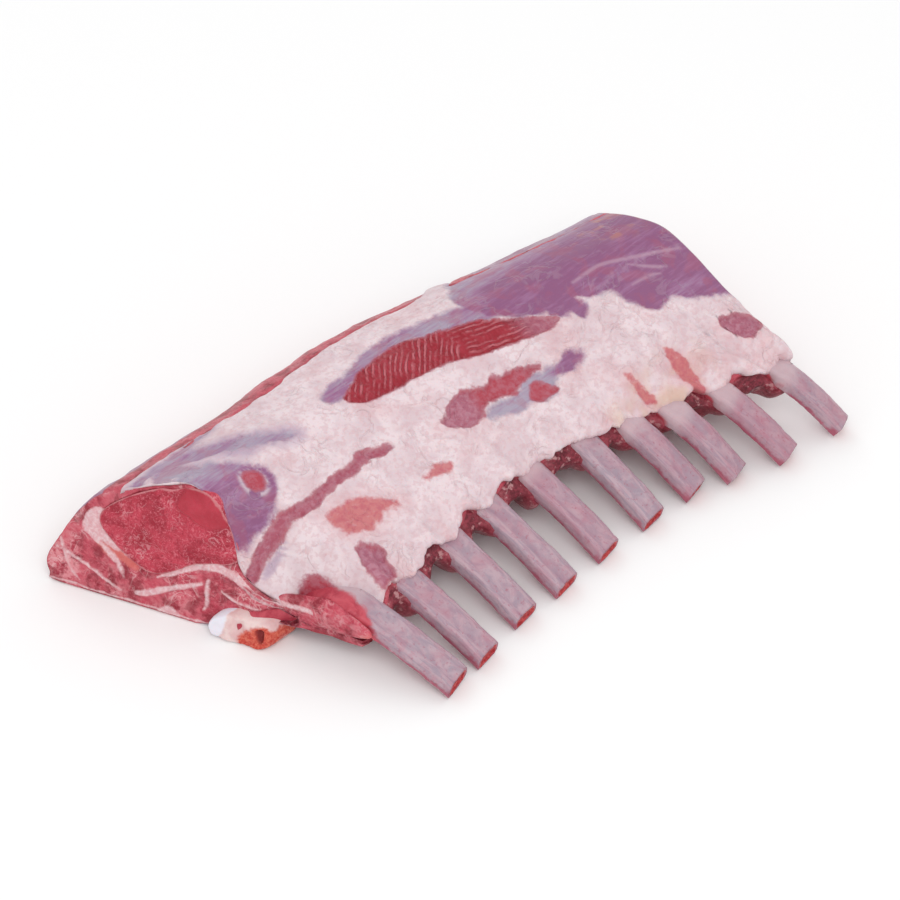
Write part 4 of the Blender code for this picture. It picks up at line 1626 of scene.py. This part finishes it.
@dataclass
class Rib:
    """One frenched rib, from its sawn head under the meat to its bare tip."""

    plan: RibPlan
    number: int
    around: int = 56
    under_rows: int = 46
    bare_rows: int = 96
    tip_rows: int = 16
    head_rows: int = 8
    bluntness: float = 0.45
    thickness: float = 7.5
    head_width: float = 15.5
    root_z: float = 25.5
    tip_z: float = 4.6
    raw_side: Patch = Patch((
        (-88, -10), (-85.5, -18), (-84.5, -27), (-84.5, -36), (-86, -43), (-88.5, -48),
        (-96, -48), (-116, -36), (-126, 0), (-104, 6)))
    arch: float = 1.4
    profile: tuple[tuple[float, float, float], ...] = (
        (0.00, 5.6, 8.0), (0.10, 6.6, 12.0), (0.22, 8.6, 13.0), (0.34, 12.0, 11.4),
        (0.46, 16.4, 9.8), (0.58, 20.4, 8.8), (0.72, 23.4, 8.0), (0.86, 25.0, 7.7),
        (1.00, 25.5, 7.5))

    def spine(self) -> tuple[Array, Array, Array, Array]:
        """Centre line, thickness, width and lean of each row."""
        plan = self.plan
        under = np.linspace(0.0, 1.0, self.under_rows, endpoint=False)
        table = np.asarray(self.profile)
        bare = np.linspace(0.0, 1.0, self.bare_rows)
        (hx, hy), (rx, ry), (tx, ty) = plan.head, plan.root, plan.tip
        x = np.concatenate([rx + (hx - rx) * (1.0 - under) ** 2.2, rx + (tx - rx) * bare])
        y = np.concatenate([hy + (ry - hy) * under, ry + (ty - ry) * bare])
        z = np.concatenate([
            np.interp(under, table[:, 0], table[:, 1]),
            self.root_z - (self.root_z - self.tip_z) * bare
            + self.arch * np.sin(math.pi * bare)])
        thick = np.concatenate([np.interp(under, table[:, 0], table[:, 2]),
                                np.full(self.bare_rows, self.thickness)])
        width = np.concatenate([
            plan.width + (self.head_width - plan.width) * np.maximum(0.0, 1.0 - under / 0.6),
            np.full(self.bare_rows, plan.width)])
        lean = np.concatenate([np.maximum(0.0, (under - 0.62) / 0.38), np.ones(self.bare_rows)])
        kernel = np.ones(7) / 7.0
        padded = np.pad(z, 3, mode="reflect", reflect_type="odd")
        z = np.convolve(padded, kernel, mode="valid")
        return np.stack([x - CENTRE_X, y - CENTRE_Y, z], -1), thick, width, lean

    def bar(self) -> Bar:
        """Sweep a blunt bar along the spine, with lumps, wiry grain and a groove."""
        centre, thick, width, lean = self.spine()
        along = np.gradient(centre, axis=0)
        along[:, 2] *= lean
        along /= np.linalg.norm(along, axis=1, keepdims=True)
        side = np.cross(along, np.array([0.0, 0.0, 1.0]))
        side /= np.linalg.norm(side, axis=1, keepdims=True)
        up = np.cross(side, along)
        angle = round_angles(self.around)
        blunt_x, blunt_z = (np.sign(wave) * np.abs(wave) ** self.bluntness
                            for wave in (np.cos(angle), np.sin(angle)))
        blunt_x = blunt_x * (0.97 - 0.07 * blunt_z)
        step = np.linalg.norm(np.diff(centre, axis=0), axis=1)
        run = np.concatenate([[0.0], np.cumsum(step)])
        seed = 100 + self.number
        zero = np.zeros_like(run)
        bare_at = run - run[self.under_rows]
        slim = 1.0 + 0.05 * layered(run, zero, zero, 22.0, seed, 2)
        flare = 1.0 + 0.06 * smooth(20.0, 0.0, bare_at) * smooth(-8.0, 0.0, bare_at)
        half_w = (width * 0.5 * slim * flare)[:, None]
        across, high = blunt_x[None] * half_w, blunt_z[None] * (thick * 0.5)[:, None]
        ring = (centre[:, None] + side[:, None] * across[..., None]
                + up[:, None] * high[..., None])

        bare = smooth(-4.0, 6.0, bare_at)[:, None]
        wire = soft_noise(run[:, None] * 0.12, across, zero[:, None], 1.6, seed + 40)
        groove_at = half_w * (0.52 if self.number % 2 else 0.35)
        groove = np.exp(-((across - groove_at) / 0.9) ** 2) * np.clip(blunt_z, 0, 1)
        broken = smooth(-0.7, 0.3, soft_noise(run, zero, zero, 9.0, seed + 60))[:, None]
        groove = groove * broken * bare
        depth = 0.55 if self.number in (3, 4, 5, 7) else 0.2
        bump = (0.22 * layered(ring[..., 0], ring[..., 1], ring[..., 2], 6.0, seed + 20, 3)
                + 0.22 * wire * bare - depth * groove)
        outward = side[:, None] * blunt_x[None, :, None] + up[:, None] * blunt_z[None, :, None]
        outward /= np.linalg.norm(outward, axis=2, keepdims=True)
        ring = ring + outward * bump[..., None]

        near_tip = smooth(11.0, 0.0, run[-1] - run)[:, None, None]
        shear = 0.34 if self.number < 8 else 0.16
        ring = ring - along[:, None] * (high[..., None] * shear) * near_tip
        return Bar(ring, along, run, blunt_z, groove * min(1.0, depth * 1.8))

    def head(self, bar: Bar) -> Array:
        """Rings that fill the sawn head with a low dome."""
        ring, heart = bar.rings[0], bar.rings[0].mean(0)
        grow = ((np.arange(self.head_rows) + 0.5) / self.head_rows)[:, None, None]
        return heart + (ring - heart) * grow - bar.along[0] * 0.8 * (1.0 - grow ** 4)

    def tip(self, bar: Bar, fall: Array) -> Array:
        """Rings that fill the cut tip: a chipped rim and a dish of marrow."""
        ring, heart = bar.rings[-1], bar.rings[-1].mean(0)
        fall = fall[:, None]
        chip = 0.28 * soft_noise(ring[None, :, 0] * fall, ring[None, :, 2] * fall * 2.0,
                                 float(self.number), 2.0, 180 + self.number)
        push = (chip * smooth(1.0, 0.9, fall) - 0.9 * smooth(0.84, 0.66, fall)
                - 0.35 * smooth(0.93, 1.0, fall))
        return heart + (ring - heart) * fall[..., None] + bar.along[-1] * push[..., None]

    def marks(self, bar: Bar, rings: Array, fall: Array) -> dict[str, Array]:
        """Every mark's field.

        Args:
            bar: the swept part.
            rings: all the rings, from the head to the tip.
            fall: size of each ring that fills the tip, 1 at its rim.

        Returns:
            A number for each point, by name.
        """
        run = np.concatenate([np.zeros(self.head_rows), bar.run,
                              np.full(self.tip_rows, bar.run[-1])])[:, None]
        from_root, to_tip = run - bar.run[self.under_rows], bar.run[-1] - run
        bare = smooth(-2.0, 8.0, from_root)
        # Sides turn dark red by how far they face down, and more so near the tip: partly the
        # bloody sides of the scraped bone, partly painted shade.
        lower = 0.9 * smooth(0.25, -0.55, bar.upness) \
            + 0.55 * smooth(9.0, 0.0, to_tip) * smooth(0.9, 0.2, bar.upness)
        before = np.zeros(len(rings) - self.tip_rows)
        on_tip, marrow = (np.concatenate([before, values])[:, None]
                          for values in (np.ones(self.tip_rows), smooth(0.90, 0.78, fall)))
        raw = smooth(4.0, -6.0, from_root) * smooth(0.7, 0.1, bar.upness)
        if self.number == 1:
            raw = np.maximum(raw, smooth(
                -3.0, 2.5, self.raw_side.depth(rings[..., 0], rings[..., 1])))
        # The crease field carries the groove's depth, which the finish paints as shade.
        crease = np.zeros(rings.shape[:2])
        crease[self.head_rows:-self.tip_rows] = bar.crease
        fields = {
            "along": run,
            "around": round_angles(self.around) * 6.0,
            "edge": np.clip(lower * bare + 0.5 * on_tip, 0, 1),
            "marrow": marrow,
            "cream": 0.75 * (1.0 - bare),
            "tone": self.plan.tone,
            "serial": float(self.number),
            "flesh": raw,
            "crease": crease,
        }
        return {name: np.broadcast_to(values, crease.shape) for name, values in fields.items()}

    def build(self, material: bpy.types.Material) -> bpy.types.Object:
        """Sweep the bar, then fill the head and the marrow end.

        Args:
            material: finish of the bone.

        Returns:
            The piece.
        """
        bar = self.bar()
        fall = (np.arange(self.tip_rows)[::-1] + 0.5) / self.tip_rows
        rings = np.concatenate([self.head(bar), bar.rings, self.tip(bar, fall)])
        piece = add_tube(f"rib_bone_{self.number:02d}", rings, material,
                         self.marks(bar, rings, fall), flip=True)
        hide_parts(f"rib_{self.number:02d}")
        return piece


@dataclass
class BackboneStub:
    """Sawn stub of backbone that stands a little proud of the left cut."""

    rack: Rack
    around: int = 96
    reach: float = 5.5
    outline: Patch = Patch(((14.5, 7), (12, 10), (7, 11.5), (0, 12), (-6, 12), (-9, 9.5),
                            (-10, 4), (-8, 0.6), (-3, 0.3), (3, 0.4), (9, 0.9), (13.5, 3.5)))
    gristle: Patch = Patch(((16, 8), (12, 12), (8.5, 11.5), (7.5, 6), (9.5, 1.5), (15, 2)))
    marrow: Patch = Patch(((1, 6), (-2, 9), (-6, 11), (-12, 10), (-13, 3), (-10, -1), (-3, -2),
                           (2, 1)))
    # Dented hollow in the marrow, darkened with painted shade by the finish.
    shaded_hollow: Patch = Patch(((-4, 8.5), (-6.5, 9.5), (-7.5, 6), (-6.5, 3), (-4.5, 5)))

    def build(self, material: bpy.types.Material) -> bpy.types.Object:
        """Push the outline out of the cut, round its edge and fill its face.

        Args:
            material: finish of the stub.

        Returns:
            The piece.
        """
        angle = round_angles(self.around)
        radius = self.outline.radius(STUB_CENTRE, angle)
        rim, foot = 0.86, 1.6
        bend = np.linspace(0.0, 0.5 * math.pi, 10)[1:]
        side = np.linspace(foot, -9.0, 16)
        face = np.linspace(0.02, rim, 40)
        scale = np.concatenate([face, rim + (1.0 - rim) * np.sin(bend), np.ones_like(side)])
        out = np.concatenate([np.full_like(face, self.reach),
                              foot + (self.reach - foot) * np.cos(bend), side])
        k = scale[:, None]
        y = STUB_CENTRE[0] + np.cos(angle) * radius * k
        z = np.maximum(STUB_CENTRE[1] + np.sin(angle) * radius * k, 0.3)
        zero = np.zeros_like(y)
        lumps = 0.8 * layered(y, z, zero, 6.0, 91, 2) + 0.3 * layered(y, z, zero, 2.0, 92, 2)
        shaded_hollow = self.shaded_hollow.depth(y, z)
        front = smooth(1.0, 0.9, k)
        push = (lumps - 2.2 * smooth(-0.6, 1.6, shaded_hollow)
                + 0.9 * smooth(-1.0, 2.0, self.gristle.depth(y, z))) * front
        x = self.rack.form.left_x(y + CENTRE_Y, z) - CENTRE_X - out[:, None] - push
        points = np.stack([x, y, z], -1)
        fields = {
            "gristle": self.gristle.depth(y, z),
            "marrow": self.marrow.depth(y, z) - 2.0 * (1.0 - front),
            "shaded_hollow": shaded_hollow,
        }
        piece = add_tube("backbone_stub", points, material, fields)
        return piece


# -------------------------------------------------------------------- studio

@dataclass(frozen=True)
class Studio:
    """White floor, soft light from above and the camera.

    Attributes:
        azimuth: the camera's bearing, degrees.
        elevation: its height angle, degrees.
        distance: how far it stands from the point it looks at, m.
        lens: its focal length, mm.
        target: the point it looks at.
    """

    azimuth: float = -43.0
    elevation: float = 45.0
    distance: float = 1.5
    lens: float = 144.0
    target: tuple[float, float, float] = (0.018175, 0.023905, 0.0)

    def build(self) -> None:
        """Add everything round the rack."""
        self.add_floor()
        self.add_world()
        self.add_light("key_light", (-0.55, -0.75, 1.35), 0.9, 8.0)
        self.add_light("fill_light", (0.95, -0.35, 1.0), 0.9, 1.2)
        self.add_light("back_light", (0.1, 1.0, 0.9), 0.8, 1.6)
        self.add_camera()

    def add_floor(self) -> None:
        """A wide white floor."""
        mesh = bpy.data.meshes.new("floor")
        size = 6.0
        mesh.from_pydata([(-size, -size, 0.0), (size, -size, 0.0), (size, size, 0.0),
                          (-size, size, 0.0)], [], [(0, 1, 2, 3)])
        material = bpy.data.materials.new("floor_white")
        material.use_nodes = True
        shader = material.node_tree.nodes["Principled BSDF"]
        shader.inputs["Base Color"].default_value = (0.96, 0.96, 0.96, 1.0)
        shader.inputs["Roughness"].default_value = 0.9
        shader.inputs["Specular IOR Level"].default_value = 0.1
        mesh.materials.append(material)
        floor = bpy.data.objects.new("floor", mesh)
        bpy.context.scene.collection.objects.link(floor)

    def add_world(self) -> None:
        """Even white light from all round."""
        world = bpy.data.worlds.new("white_room")
        world.use_nodes = True
        back = world.node_tree.nodes["Background"]
        back.inputs["Color"].default_value = (1.0, 1.0, 1.0, 1.0)
        back.inputs["Strength"].default_value = 0.76
        bpy.context.scene.world = world

    def add_light(self, name: str, place: tuple[float, float, float], size: float,
                  power: float) -> None:
        """A square soft light that faces the rack."""
        lamp = bpy.data.lights.new(name, "AREA")
        lamp.size = size
        lamp.energy = power
        item = bpy.data.objects.new(name, lamp)
        self.aim(item, place, (0.0, 0.0, 0.02))
        bpy.context.scene.collection.objects.link(item)

    @staticmethod
    def aim(item: bpy.types.Object, place: Sequence[float], at: Sequence[float]) -> None:
        """Stand an object at a place, its -Z towards a point."""
        item.location = place
        way = Vector(at) - Vector(place)
        item.rotation_euler = way.to_track_quat("-Z", "Y").to_euler()

    def add_camera(self) -> None:
        """The camera, with plain sRGB colours."""
        a, e = math.radians(self.azimuth), math.radians(self.elevation)
        back = (math.sin(a) * math.cos(e), -math.cos(a) * math.cos(e), math.sin(e))
        place = [t + b * self.distance for t, b in zip(self.target, back)]
        lens = bpy.data.cameras.new("camera")
        lens.lens = self.lens
        lens.sensor_width = 36.0
        camera = bpy.data.objects.new("camera", lens)
        self.aim(camera, place, self.target)
        bpy.context.scene.collection.objects.link(camera)
        bpy.context.scene.camera = camera
        bpy.context.scene.view_settings.view_transform = "Standard"


def main() -> None:
    """Build and dress the rack, then the studio."""
    logging.basicConfig(level=logging.INFO, format="%(name)s: %(message)s")
    effects = Effects()
    rack = Rack()
    FatCover(rack).build(CoverFinish("fat_and_silverskin", soft=0.12, bump=0.35).build(effects))
    meat = MeatFinish("raw_red_meat", bump=0.45).build(effects)
    LoinMeat(rack).build(meat)
    Flank().build(meat)
    EyeMuscle(rack).build(EyeFinish("eye_cut_face", bump=0.4).build(effects))
    bone = BoneFinish("scraped_bone", soft=0.08, bump=0.3).build(effects)
    for number, plan in enumerate(RIB_PLANS, start=1):
        Rib(plan, number).build(bone)
    BackboneStub(rack).build(
        StubFinish("sawn_backbone", moisture=Moisture.WET, bump=0.4).build(effects))
    Studio().build()


if __name__ == "__main__":
    main()
